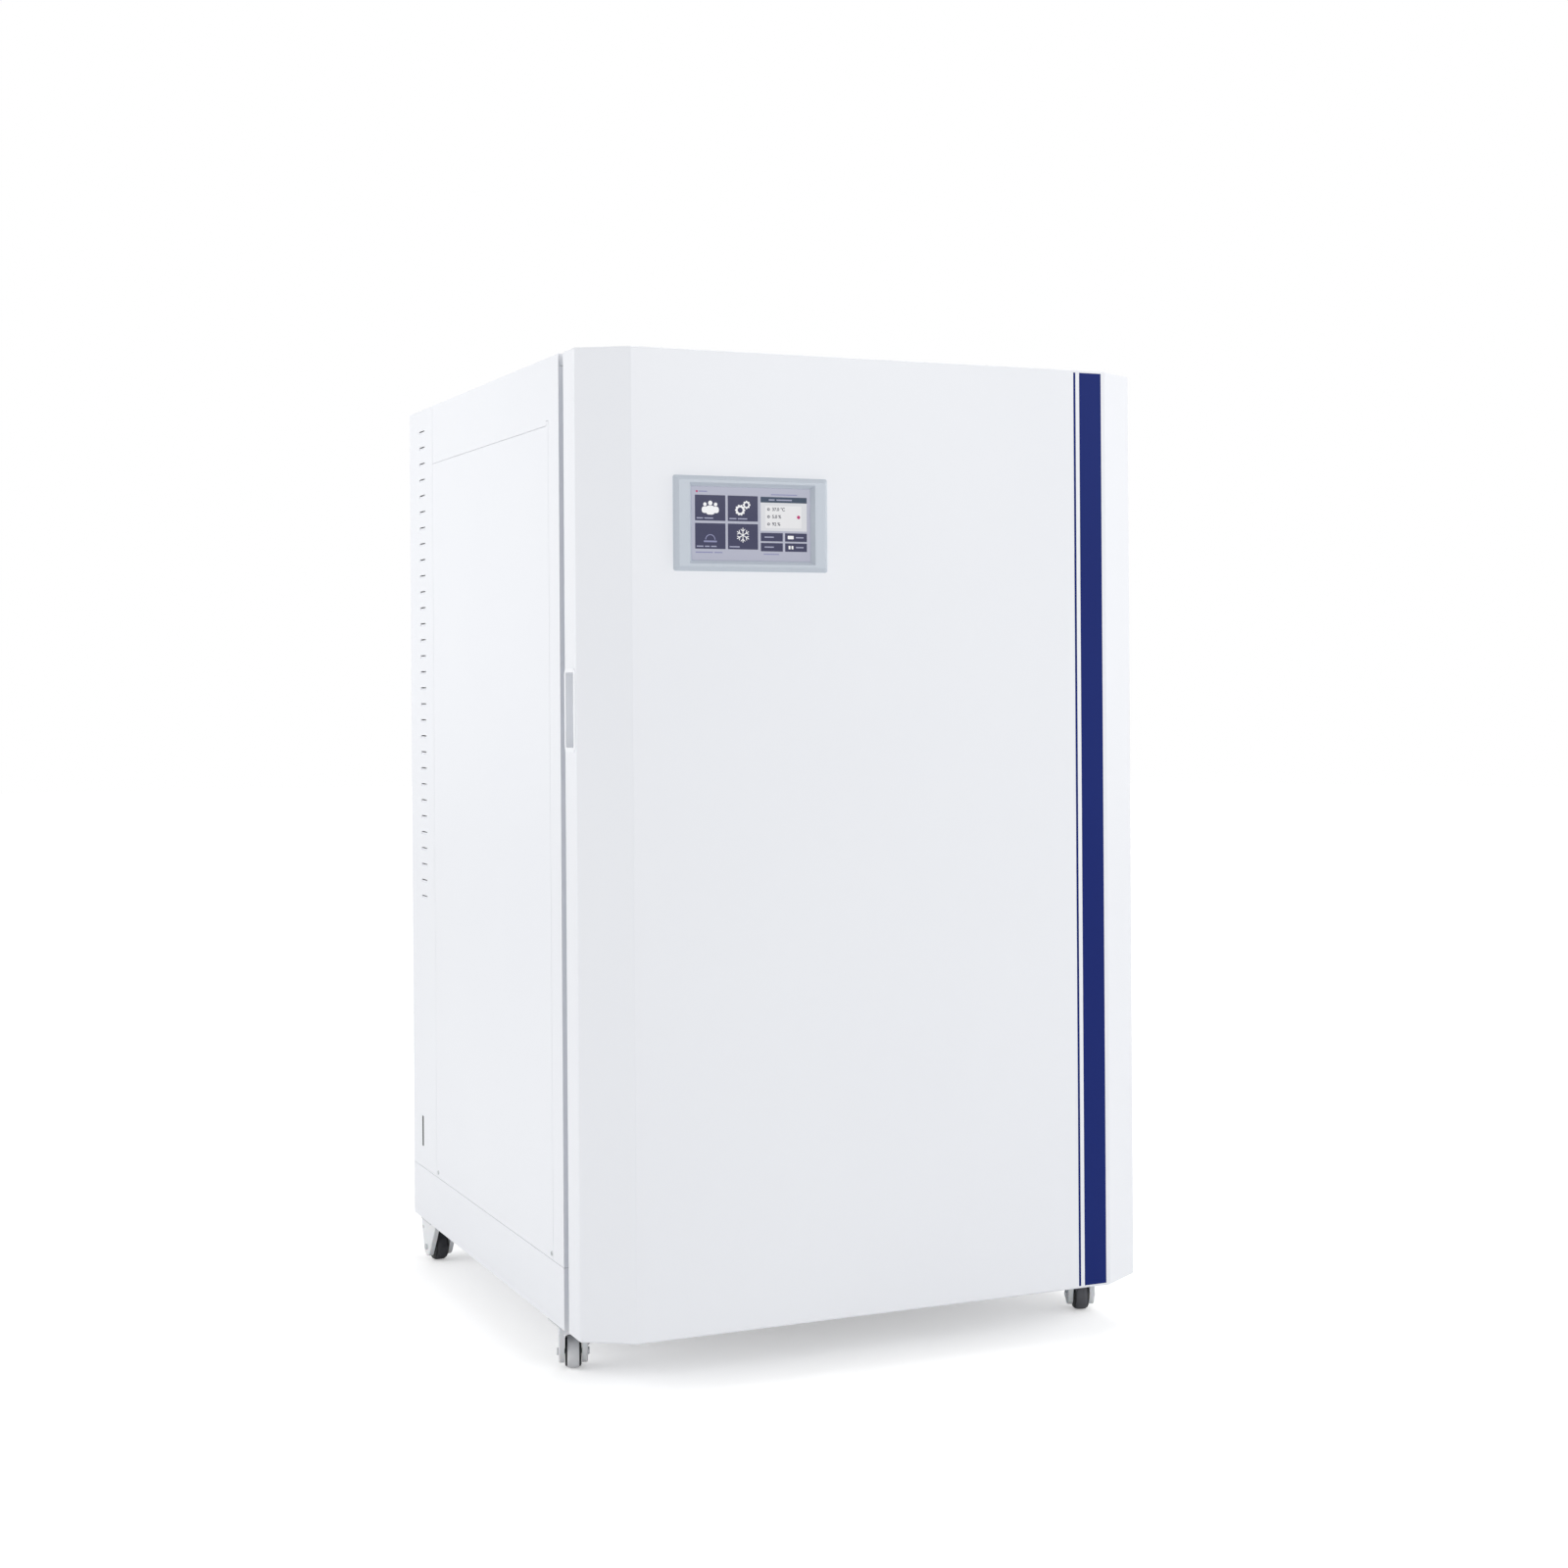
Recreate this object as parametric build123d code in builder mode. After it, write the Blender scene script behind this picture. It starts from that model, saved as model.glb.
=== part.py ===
from build123d import *
from math import cos, radians, sin
import os

os.makedirs("parts", exist_ok=True)

# A floor-standing carbon dioxide incubator. X runs to the right, Y to the back and Z up, in millimetres,
# with the origin on the floor under the middle of the cabinet and its closed front door.

# Overall sizes
body_width = 754.0
body_height = 1160.0
body_depth = 784.0
ground_clearance = 62.0
door_thickness = 75.0
door_gap = 18.0

# Sheet metal and fits
sheet = 1.5
base_sheet = 2.5
seam = 0.6
touch_fit = 0.3
running_fit = 0.05
plug_fit = 0.1
core_gap = 0.5

# Front door
door_chamfer_width = 57.5
door_chamfer_depth = 36.5
door_edge_radius = 3.0
liner_dish_margin = 8.0
liner_dish_depth = 12.0

# Finger grip in the left edge of the door
grip_bottom = 691.0
grip_height = 92.0
grip_depth = 26.0
grip_front_margin = 3.5
grip_back_margin = 3.0
grip_lip = 3.0
grip_lip_height = 1.0
grip_corner = 4.0

# Touch panel in the door
bezel_width = 198.5
bezel_height = 112.5
bezel_side_margin = 108.75
bezel_top_margin = 204.5
bezel_rise = 7.0
bezel_slope = 38.0
window_width = 153.0
window_height = 87.0
window_slope = 35.0
glass_overlap = 2.0
screen_glass = 2.5
screen_sink = 1.0
module_depth = 24.0
module_flange = 9.0

# Door gasket
gasket_inset = 16.0
gasket_hinge_inset = 36.0
gasket_width = 16.0
gasket_base = 4.0
gasket_waist = 5.0
gasket_nip = 2.5
gasket_corner = 10.0

# Outer door hinges
hinge_end_margin = 150.0
hinge_height = 80.0
hinge_overhang = 1.0
knuckle_radius = 6.0
hinge_pin_radius = 3.5
hinge_leaf = 2.5
hinge_leaf_reach = 26.0
hinge_web = 8.0
hinge_pin_stop = 4.0

# Cabinet panels
plinth_height = 74.0
front_flange = 34.0
rear_flange = 20.0
top_return = 14.0
cover_front = 133.0
cover_top_margin = 81.0
cover_tab_width = 8.0
cover_tab_height = 6.0
corner_panel_depth = 124.0
lip = 10.0
louvre_count = 30
louvre_pitch = 22.9
louvre_top_margin = 31.6
louvre_rear_margin = 82.0
louvre_length = 28.0
louvre_slot = 4.0
side_slot_rear_margin = 53.0
side_slot_bottom = 106.0
side_slot_width = 4.5
side_slot_height = 41.0

# Chamber
chamber_floor = 128.0
chamber_corner = 20.0
throat_depth = 28.0
throat_margin = 26.0
insulation_back = 40.0
insulation_wall = 70.0
insulation_roof = 68.0
side_cavity = 2.5
plant_height = 192.5
service_depth = 81.5

# Shelves and their racks
shelf_count = 3
shelf_foot_room = 150.0
shelf_head_room = 260.0
upright_depth = 20.0
upright_thickness = 8.0
upright_setback = 60.0
runner_reach = 14.0
runner_lip = 8.0
rack_sheet = 1.2
shelf_side_gap = 0.8
shelf_setback = 30.0
shelf_back_gap = 30.0
shelf_sheet = 1.2
shelf_fold = 10.0
shelf_slot = (62.0, 14.0)
shelf_bar = (16.0, 36.0)
pan_side_gap = 40.0
pan_back_gap = 60.0
pan_height = 32.0
pan_corner = 18.0
pan_rim = 8.0
pan_setback = 40.0

# Fan, duct and filter
duct_width = 300.0
duct_drop = 60.0
duct_back = 25.0
duct_length = 330.0
duct_bottom = 45.0
duct_slot = (36.0, 8.0)
duct_slot_column_pitch = 60.0
duct_slot_row_pitch = 60.0
duct_slot_end_rows = 2
fan_back_margin = 170.0
fan_radius = 60.0
fan_blades = 14
fan_height = 34.0
fan_eye = 44.0
fan_drop = 13.0
fan_hub_radius = 15.0
blade_thickness = 1.2
blade_chord = 16.0
blade_angle = 25.0
shaft_radius = 4.0
shaft_clear = 6.0
motor_radius = 46.0
motor_height = 62.0
motor_flange_radius = 60.0
motor_flange = 4.0
motor_wall = 14.0
filter_radius = 95.0
filter_height = 52.0
filter_cap = 5.0
filter_media_radius = 88.0
filter_bore = 50.0

# Sensor probe
probe_side_margin = 90.0
probe_setback = 130.0
probe_foot = (60.0, 44.0, 6.0)
probe_radius = 13.0
probe_length = 70.0
probe_cap_radius = 15.0
probe_cap = 14.0
probe_chamfer = 3.0

# Control tray
tray_side_margin = 26.5
tray_motor_gap = 25.0
tray_length = 380.0
tray_depth = 14.0
tray_setback = 60.0
tray_margin = 30.0
transformer_size = (80.0, 90.0, 70.0)
transformer_y = -105.0
board_length = 170.0
board_thickness = 8.0
board_y = 65.0
fin_size = (3.0, 90.0, 40.0)
fin_place = (56.0, -105.0)
fin_pitch = 10.0
fin_count = 8

# Glass door
pane = 6.0
pane_margin = 8.0
pane_corner = 10.0
bracket_gap = 2.0
glass_gasket_height = 8.0
glass_gasket_margin = 3.0
glass_gasket_width = 9.0
glass_pivot_margin = 14.0
glass_pivot_lead = 6.0
clamp_height = 24.0
clamp_reach = 24.0
clamp_wall = 3.0
clamp_wrap = 2.0
glass_barrel_radius = 5.5
glass_pin_radius = 2.5
bracket_width = 12.0
pin_length = 12.0
knob_side_margin = 22.0
knob_z = 500.0
knob_radius = 17.0
knob_length = 16.0
knob_gap = 0.8
knob_flutes = 8
flute_radius = 4.0
flute_outset = 1.5
arm_thickness = 3.0
arm_width = 10.0
arm_length = 26.0
spindle_radius = 5.0
spindle_collar = 6.5
strike_height = 30.0
strike_lip = 3.0
strike_clear = 0.5

# Services at the back
recess_side_margin = 77.0
recess_z = 150.0
recess_width = 220.0
recess_height = 90.0
recess_depth = 36.0
recess_rim = 10.0
inlet_x = -60.0
inlet_width = 48.0
inlet_height = 27.0
inlet_flange = 4.0
inlet_socket = (26.0, 18.0)
inlet_depth = 24.0
inlet_pin = (2.0, 4.0)
inlet_pins = ((-7.0, -2.0), (7.0, -2.0), (0.0, 3.0))
inlet_pin_sink = 4.0
switch_x = 10.0
switch_width = 22.0
switch_height = 30.0
switch_rim = 2.0
switch_rim_depth = 3.0
switch_depth = 14.0
rocker_width = 15.0
rocker_height = 24.0
rocker_tilt = 10.0
rocker_pin_radius = 1.5
rocker_pin_sink = 1.0
rocker_axis_outset = 1.0
rocker_outline = ((-4.0, -3.0), (5.0, -10.5), (2.8, 0.0), (5.0, 10.5), (-4.0, 3.0))
gas_x = 70.0
gas_radius = 5.0
gas_length = 20.0
gas_nut_radius = 11.0
gas_nut = 7.0
port_side_margin = 152.0
port_bore = 18.0
port_wall = 3.0
port_flange = 8.0
port_flange_thickness = 2.5
plug_length = 60.0
plug_head_radius = 23.0
plug_head = 6.0
plug_chamfer = 2.0

# Casters
kingpin_side_inset = 25.0
kingpin_front = 135.0
kingpin_rear_margin = 58.0
wheel_radius = 20.0
wheel_width = 20.0
wheel_side_gap = 0.7
wheel_web = 0.75
wheel_hub = (0.32, 0.36)
wheel_tyre = (0.66, 0.72, 0.82)
wheel_tread = 0.56
caster_trail = 16.0
fork_width = 35.4
cheek_radius = 13.5
cheek_front = 18.0
cheek_back = 38.0
crown_radius = 17.5
crown_height = 8.0
cheek_edge = 2.0
axle_radius = 3.0
plate_side = 48.0
plate_thickness = 2.5
race_radius = 18.0
race_height = 2.0
kingpin_radius = 5.0
kingpin_head_radius = 8.0
kingpin_head = 2.5
brake_pivot = (31.0, 45.2)
brake_pin_radius = 2.5
shoe_tip = (12.0, 45.4)
shoe_tip_radius = 1.8
shoe_root_radius = 3.4
pedal_reach = 19.0
pedal_root = ((34.0, 43.0), (33.0, 50.0), (8.0, 50.0), (9.0, 34.0), (17.0, 26.0), (24.0, 28.0))
pedal_edge = ((32.0, 44.0), (31.0, 49.0), (10.0, 49.0), (11.0, 42.0), (17.0, 41.0), (24.0, 41.0))
headings = {"front_left": 18.0, "front_right": 202.0, "rear_left": -4.0, "rear_right": 191.0}

# Planes that several pieces share
half_width = body_width / 2
front_y = -body_depth / 2
rear_y = body_depth / 2
door_back_y = front_y + door_thickness
face_y = door_back_y + door_gap
bottom_z = ground_clearance
top_z = bottom_z + body_height
panel_bottom_z = bottom_z + plinth_height + seam
panel_top_z = top_z - top_return - seam
cover_front_y = front_y + cover_front
cover_top_z = top_z - cover_top_margin
corner_seam_y = rear_y - corner_panel_depth
liner_y = face_y + throat_depth
floor_z = bottom_z + chamber_floor
insulation_top_z = top_z - plant_height
insulation_back_y = rear_y - service_depth
insulation_half_width = half_width - 2 * sheet - side_cavity
ceiling_z = insulation_top_z - insulation_roof - sheet
chamber_mid_z = (floor_z + ceiling_z) / 2
chamber_back_y = insulation_back_y - insulation_back - sheet
chamber_half_width = insulation_half_width - insulation_wall - sheet
chamber_width = 2 * chamber_half_width
chamber_height = ceiling_z - floor_z
chamber_depth = chamber_back_y - liner_y
shelf_pitch = (chamber_height - shelf_foot_room - shelf_head_room) / (shelf_count - 1)
shelf_levels = [shelf_foot_room + shelf_pitch * step for step in range(shelf_count)]
throat_width = chamber_width + 2 * throat_margin
throat_height = chamber_height + 2 * throat_margin


def facing_front(y):
    """The upright plane at depth y, with X to the right, Z up and its normal towards the front."""
    return Plane.XZ.offset(-y)


def seen_from_left(x):
    """The upright plane at x, with Y to the right, Z up and its normal towards the right of the cabinet."""
    return Plane.YZ.offset(x)


def slab(x_span, y_span, z_span, mode=Mode.ADD):
    """A rectangular block between two limits on each axis."""
    spans = (x_span, y_span, z_span)
    with Locations(tuple((low + high) / 2 for low, high in spans)):
        Box(*(high - low for low, high in spans), mode=mode)


def rod(radius, start, end, mode=Mode.ADD):
    """A round bar between two points that differ along one axis."""
    axis = Vector(*end) - Vector(*start)
    middle = (Vector(*end) + Vector(*start)) * 0.5
    with Locations(Plane(origin=middle, z_dir=axis.normalized())):
        Cylinder(radius, axis.length, mode=mode)


def tub(grow):
    """The space inside the chamber with its rounded edges, grown outwards by a wall and closed at the front."""
    with BuildPart() as form:
        with BuildSketch(facing_front(liner_y)):
            with Locations((0, chamber_mid_z)):
                RectangleRounded(
                    chamber_width + 2 * grow, chamber_height + 2 * grow, chamber_corner + grow
                )
        extrude(amount=-(chamber_depth + grow))
        fillet(form.faces().sort_by(Axis.Y)[-1].edges(), chamber_corner + grow)
    return form.part


def door_block(inset):
    """The solid form of the door with its broad upright chamfers and bent edges, moved inwards by an inset."""
    with BuildPart() as block:
        with BuildSketch(Plane.XY.offset(bottom_z + inset)):
            with BuildLine():
                Polyline(
                    (-half_width, door_back_y),
                    (-half_width, front_y + door_chamfer_depth),
                    (door_chamfer_width - half_width, front_y),
                    (half_width - door_chamfer_width, front_y),
                    (half_width, front_y + door_chamfer_depth),
                    (half_width, door_back_y),
                    close=True,
                )
            make_face()
            if inset:
                offset(amount=-inset, kind=Kind.INTERSECTION, mode=Mode.REPLACE)
        extrude(amount=body_height - 2 * inset)
        bend = door_edge_radius - inset
        upright_edges = block.edges().filter_by(Axis.Z).group_by(Axis.Y)[:-1]
        fillet([edge for row in upright_edges for edge in row], bend)
        fillet(block.faces().sort_by(Axis.Y)[0].edges().filter_by(Axis.X), bend)
    return block.part


# Front door: a folded skin with broad chamfers down both upright edges, closed at the back by an inner pan.
display_opening = (window_width + 2 * glass_overlap, window_height + 2 * glass_overlap)
display_x = bezel_side_margin + bezel_width / 2 - half_width
display_z = top_z - bezel_top_margin
grip_front_y = front_y + door_chamfer_depth + grip_front_margin
grip_back_y = door_back_y - grip_back_margin
grip_mid_y = (grip_front_y + grip_back_y) / 2
grip_mid_z = bottom_z + grip_bottom + grip_height / 2
grip_opening = (grip_back_y - grip_front_y, grip_height)

door_form = door_block(0)
with BuildPart() as door_skin:
    add(door_form)
    offset(amount=-sheet, openings=door_skin.faces().sort_by(Axis.Y)[-1])
    with BuildSketch(facing_front(front_y)):
        with Locations((display_x, display_z)):
            Rectangle(*display_opening)
    extrude(amount=-2 * sheet, mode=Mode.SUBTRACT)
    with BuildSketch(seen_from_left(-half_width)):
        with Locations((grip_mid_y, grip_mid_z)):
            RectangleRounded(*grip_opening, grip_corner)
    extrude(amount=2 * sheet, mode=Mode.SUBTRACT)
door_skin.part.label = "door_skin"
export_step(door_skin.part, "parts/door_skin.step")

# The grip is a moulded cup behind a narrow rim, and the fingers reach in from the side.
with BuildPart() as door_grip:
    with BuildSketch(seen_from_left(-half_width)):
        with Locations((grip_mid_y, grip_mid_z)):
            RectangleRounded(
                grip_opening[0] + 2 * grip_lip - 2 * touch_fit, grip_height + 2 * grip_lip, grip_corner + grip_lip
            )
    extrude(amount=-grip_lip_height)
    with BuildSketch(seen_from_left(-half_width)):
        with Locations((grip_mid_y, grip_mid_z)):
            RectangleRounded(
                grip_opening[0] - 2 * touch_fit, grip_height - 2 * touch_fit, grip_corner - touch_fit
            )
    extrude(amount=grip_depth + sheet)
    with BuildSketch(seen_from_left(-half_width - grip_lip_height)):
        with Locations((grip_mid_y, grip_mid_z)):
            RectangleRounded(
                grip_opening[0] - 2 * touch_fit - 2 * sheet,
                grip_height - 2 * touch_fit - 2 * sheet,
                grip_corner - touch_fit - sheet,
            )
    extrude(amount=grip_lip_height + grip_depth, mode=Mode.SUBTRACT)
door_grip.part.label = "door_grip"
export_step(door_grip.part, "parts/door_grip.step")

# The inner pan closes the back of the door and is dished inside the ring of the gasket.
gasket_left = -half_width + gasket_inset
gasket_right = half_width - gasket_hinge_inset
gasket_bottom = bottom_z + gasket_inset
gasket_top = top_z - gasket_inset
gasket_mid = ((gasket_left + gasket_right) / 2, (gasket_bottom + gasket_top) / 2)
gasket_size = (gasket_right - gasket_left, gasket_top - gasket_bottom)
dish_size = tuple(side - 2 * gasket_width - 2 * liner_dish_margin for side in gasket_size)
pan_outer = (body_width - 2 * sheet - 2 * touch_fit, body_height - 2 * sheet - 2 * touch_fit)

with BuildPart() as door_pan:
    with BuildSketch(facing_front(door_back_y)):
        with Locations((0, bottom_z + body_height / 2)):
            RectangleRounded(*pan_outer, door_edge_radius - sheet)
    extrude(amount=sheet)
    with BuildSketch(facing_front(door_back_y)):
        with Locations(gasket_mid):
            RectangleRounded(*dish_size, gasket_corner)
    extrude(amount=liner_dish_depth + sheet)
    with BuildSketch(facing_front(door_back_y)):
        with Locations(gasket_mid):
            RectangleRounded(*(side - 2 * sheet for side in dish_size), gasket_corner - sheet)
    extrude(amount=liner_dish_depth, mode=Mode.SUBTRACT)
door_pan.part.label = "door_pan"
export_step(door_pan.part, "parts/door_pan.step")

# Foam fills the door between the skin and the pan, with pockets for the grip and the display module.
module_size = tuple(side - 2 * touch_fit for side in display_opening)
module_back_y = front_y + module_depth
dish_front_y = door_back_y - liner_dish_depth - sheet - touch_fit

core_form = door_block(sheet + core_gap)
with BuildPart() as door_core:
    add(core_form)
    with BuildSketch(facing_front(door_back_y)):
        with Locations(gasket_mid):
            RectangleRounded(*(side + 2 * touch_fit for side in dish_size), gasket_corner)
    extrude(amount=door_back_y - dish_front_y, mode=Mode.SUBTRACT)
    with BuildSketch(facing_front(front_y)):
        with Locations((display_x, display_z)):
            Rectangle(*(side + 2 * module_flange + 2 * touch_fit for side in module_size))
    extrude(amount=-(module_depth + touch_fit), mode=Mode.SUBTRACT)
    with BuildSketch(seen_from_left(-half_width)):
        with Locations((grip_mid_y, grip_mid_z)):
            Rectangle(*(side + 2 * touch_fit for side in grip_opening))
    extrude(amount=grip_depth + sheet + touch_fit, mode=Mode.SUBTRACT)
door_core.part.label = "door_core"
export_step(door_core.part, "parts/door_core.step")

# Display: a raised bezel that slopes outwards to the door and inwards to the glass, over a flat module.
glass_front_y = front_y - screen_sink
with BuildPart() as display_bezel:
    with BuildSketch(facing_front(front_y)):
        with Locations((display_x, display_z)):
            RectangleRounded(bezel_width, bezel_height, door_edge_radius)
    extrude(amount=bezel_rise, taper=bezel_slope)
    with BuildSketch(facing_front(glass_front_y)):
        with Locations((display_x, display_z)):
            Rectangle(window_width, window_height)
    extrude(amount=bezel_rise, taper=-window_slope, mode=Mode.SUBTRACT)
    with BuildSketch(facing_front(front_y)):
        with Locations((display_x, display_z)):
            Rectangle(*display_opening)
    extrude(amount=screen_sink, mode=Mode.SUBTRACT)
display_bezel.part.label = "display_bezel"
export_step(display_bezel.part, "parts/display_bezel.step")

with BuildPart() as display_screen:
    with BuildSketch(facing_front(glass_front_y)):
        with Locations((display_x, display_z)):
            Rectangle(*module_size)
    extrude(amount=-screen_glass)
display_screen.part.label = "display_screen"
export_step(display_screen.part, "parts/display_screen.step")

with BuildPart() as display_module:
    with BuildSketch(facing_front(glass_front_y + screen_glass)):
        with Locations((display_x, display_z)):
            Rectangle(*module_size)
    extrude(amount=-(module_back_y - glass_front_y - screen_glass))
    with BuildSketch(facing_front(front_y + sheet)):
        with Locations((display_x, display_z)):
            Rectangle(*(side + 2 * module_flange for side in module_size))
    extrude(amount=-sheet)
display_module.part.label = "display_module"
export_step(display_module.part, "parts/display_module.step")

# The magnetic gasket has a wide foot on the door, a narrow waist and a wide head that meets the cabinet.
with BuildPart() as door_gasket:
    layers = (
        (door_back_y, gasket_base, 0.0),
        (door_back_y + gasket_base, gasket_waist, gasket_nip),
        (door_back_y + gasket_base + gasket_waist, door_gap - touch_fit - gasket_base - gasket_waist, 0.0),
    )
    for layer_y, layer_depth, nip in layers:
        with BuildSketch(facing_front(layer_y)):
            with Locations(gasket_mid):
                RectangleRounded(*(side - 2 * nip for side in gasket_size), gasket_corner)
                RectangleRounded(
                    *(side - 2 * gasket_width + 2 * nip for side in gasket_size),
                    gasket_corner / 2,
                    mode=Mode.SUBTRACT,
                )
        extrude(amount=-layer_depth)
door_gasket.part.label = "door_gasket"
export_step(door_gasket.part, "parts/door_gasket.step")

# Lift-off hinges stand in the gap at the right: the cabinet's half carries the pin and the door's half drops on it.
hinge_x = half_width - hinge_overhang
hinge_y = (door_back_y + face_y) / 2
hinge_centres = (bottom_z + hinge_end_margin, (bottom_z + top_z) / 2, top_z - hinge_end_margin)
leaf_end_x = hinge_x - hinge_web - hinge_leaf_reach


def hinge_half(leaf_y_span, web_y_span, low_z, high_z):
    """A flat leaf, the web that stands off it and a knuckle round the hinge axis."""
    slab((leaf_end_x, hinge_x - hinge_web), leaf_y_span, (low_z, high_z))
    slab((hinge_x - hinge_web, hinge_x), web_y_span, (low_z, high_z))
    rod(knuckle_radius, (hinge_x, hinge_y, low_z), (hinge_x, hinge_y, high_z))


with BuildPart() as cabinet_hinges:
    for middle_z in hinge_centres:
        low_z = middle_z - hinge_height / 2
        hinge_half((face_y - hinge_leaf, face_y), (hinge_y, face_y), low_z, middle_z - touch_fit)
        rod(
            hinge_pin_radius,
            (hinge_x, hinge_y, middle_z - touch_fit),
            (hinge_x, hinge_y, middle_z + hinge_height / 2 - hinge_pin_stop - touch_fit),
        )
cabinet_hinges.part.label = "cabinet_hinges"
export_step(cabinet_hinges.part, "parts/cabinet_hinges.step")

with BuildPart() as door_hinges:
    for middle_z in hinge_centres:
        high_z = middle_z + hinge_height / 2
        hinge_half((door_back_y, door_back_y + hinge_leaf), (door_back_y, hinge_y), middle_z, high_z)
        rod(
            hinge_pin_radius + running_fit,
            (hinge_x, hinge_y, middle_z - touch_fit),
            (hinge_x, hinge_y, high_z - hinge_pin_stop),
            Mode.SUBTRACT,
        )
door_hinges.part.label = "door_hinges"
export_step(door_hinges.part, "parts/door_hinges.step")

# The base pan is the plinth that carries the cabinet, open at the top.
with BuildPart() as base_pan:
    slab((-half_width, half_width), (face_y, rear_y), (bottom_z, bottom_z + plinth_height))
    offset(amount=-base_sheet, openings=base_pan.faces().sort_by(Axis.Z)[-1])
base_pan.part.label = "base_pan"
export_step(base_pan.part, "parts/base_pan.step")

# Side frame: one folded sheet with a flange at the front and a lip behind the edges of the service cover.
with BuildPart() as left_side_frame:
    with BuildSketch(seen_from_left(-half_width)):
        with BuildLine():
            Polyline(
                (face_y, panel_bottom_z),
                (face_y, top_z),
                (corner_seam_y - seam, top_z),
                (corner_seam_y - seam, cover_top_z),
                (cover_front_y + cover_tab_width, cover_top_z),
                (cover_front_y + cover_tab_width, cover_top_z + cover_tab_height),
                (cover_front_y, cover_top_z + cover_tab_height),
                (cover_front_y, panel_bottom_z),
                close=True,
            )
        make_face()
    extrude(amount=sheet)
    with BuildSketch(seen_from_left(-half_width + sheet)):
        with BuildLine():
            Polyline(
                (cover_front_y - lip, panel_bottom_z),
                (cover_front_y - lip, cover_top_z + cover_tab_height + lip),
                (corner_seam_y - lip - seam, cover_top_z + cover_tab_height + lip),
                (corner_seam_y - lip - seam, cover_top_z - lip),
                (cover_front_y + lip, cover_top_z - lip),
                (cover_front_y + lip, panel_bottom_z),
                close=True,
            )
        make_face()
    extrude(amount=sheet)
    slab((-half_width, -half_width + front_flange), (face_y, face_y + sheet), (panel_bottom_z, panel_top_z))
left_side_frame.part.label = "left_side_frame"
export_step(left_side_frame.part, "parts/left_side_frame.step")

# The service cover fills the opening of the side frame and lies on its lip.
with BuildPart() as left_service_cover:
    with BuildSketch(seen_from_left(-half_width)):
        with BuildLine():
            Polyline(
                (cover_front_y + seam, panel_bottom_z),
                (cover_front_y + seam, cover_top_z + cover_tab_height - seam),
                (cover_front_y + cover_tab_width - seam, cover_top_z + cover_tab_height - seam),
                (cover_front_y + cover_tab_width - seam, cover_top_z - seam),
                (corner_seam_y - seam, cover_top_z - seam),
                (corner_seam_y - seam, panel_bottom_z),
                close=True,
            )
        make_face()
    extrude(amount=sheet)
left_service_cover.part.label = "left_service_cover"
export_step(left_service_cover.part, "parts/left_service_cover.step")

# Rear corner panel: a louvred strip with a flange round the back and a lip behind the seam of its neighbours.
with BuildPart() as left_corner_panel:
    with BuildSketch(seen_from_left(-half_width)):
        with Locations(((corner_seam_y + rear_y) / 2, (panel_bottom_z + top_z) / 2)):
            Rectangle(rear_y - corner_seam_y, top_z - panel_bottom_z)
        louvre_mid = rear_y - louvre_rear_margin + louvre_length / 2
        louvre_low = top_z - louvre_top_margin - (louvre_count - 1) * louvre_pitch / 2
        with Locations((louvre_mid, louvre_low)):
            with GridLocations(0, louvre_pitch, 1, louvre_count):
                Rectangle(louvre_length, louvre_slot, mode=Mode.SUBTRACT)
        slot_mid_z = bottom_z + side_slot_bottom + side_slot_height / 2
        with Locations((rear_y - side_slot_rear_margin + side_slot_width / 2, slot_mid_z)):
            Rectangle(side_slot_width, side_slot_height, mode=Mode.SUBTRACT)
    extrude(amount=sheet)
    slab(
        (-half_width + sheet, -half_width + 2 * sheet),
        (corner_seam_y - lip, corner_seam_y + lip),
        (panel_bottom_z, panel_top_z),
    )
    slab((-half_width, -half_width + rear_flange), (rear_y - sheet, rear_y), (panel_bottom_z, panel_top_z))
left_corner_panel.part.label = "left_corner_panel"
export_step(left_corner_panel.part, "parts/left_corner_panel.step")

# The right side of the cabinet mirrors the left.
with BuildPart() as right_side_frame:
    mirror(left_side_frame.part, about=Plane.YZ)
right_side_frame.part.label = "right_side_frame"
export_step(right_side_frame.part, "parts/right_side_frame.step")

with BuildPart() as right_service_cover:
    mirror(left_service_cover.part, about=Plane.YZ)
right_service_cover.part.label = "right_service_cover"
export_step(right_service_cover.part, "parts/right_service_cover.step")

with BuildPart() as right_corner_panel:
    mirror(left_corner_panel.part, about=Plane.YZ)
right_corner_panel.part.label = "right_corner_panel"
export_step(right_corner_panel.part, "parts/right_corner_panel.step")

# Top cover: a shallow lid with its edges turned down, dropped between the side panels.
with BuildPart() as top_cover:
    lid_half_width = half_width - sheet - touch_fit
    slab((-lid_half_width, lid_half_width), (face_y, rear_y), (top_z - top_return, top_z))
    offset(amount=-sheet, openings=top_cover.faces().sort_by(Axis.Z)[0])
top_cover.part.label = "top_cover"
export_step(top_cover.part, "parts/top_cover.step")

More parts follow.
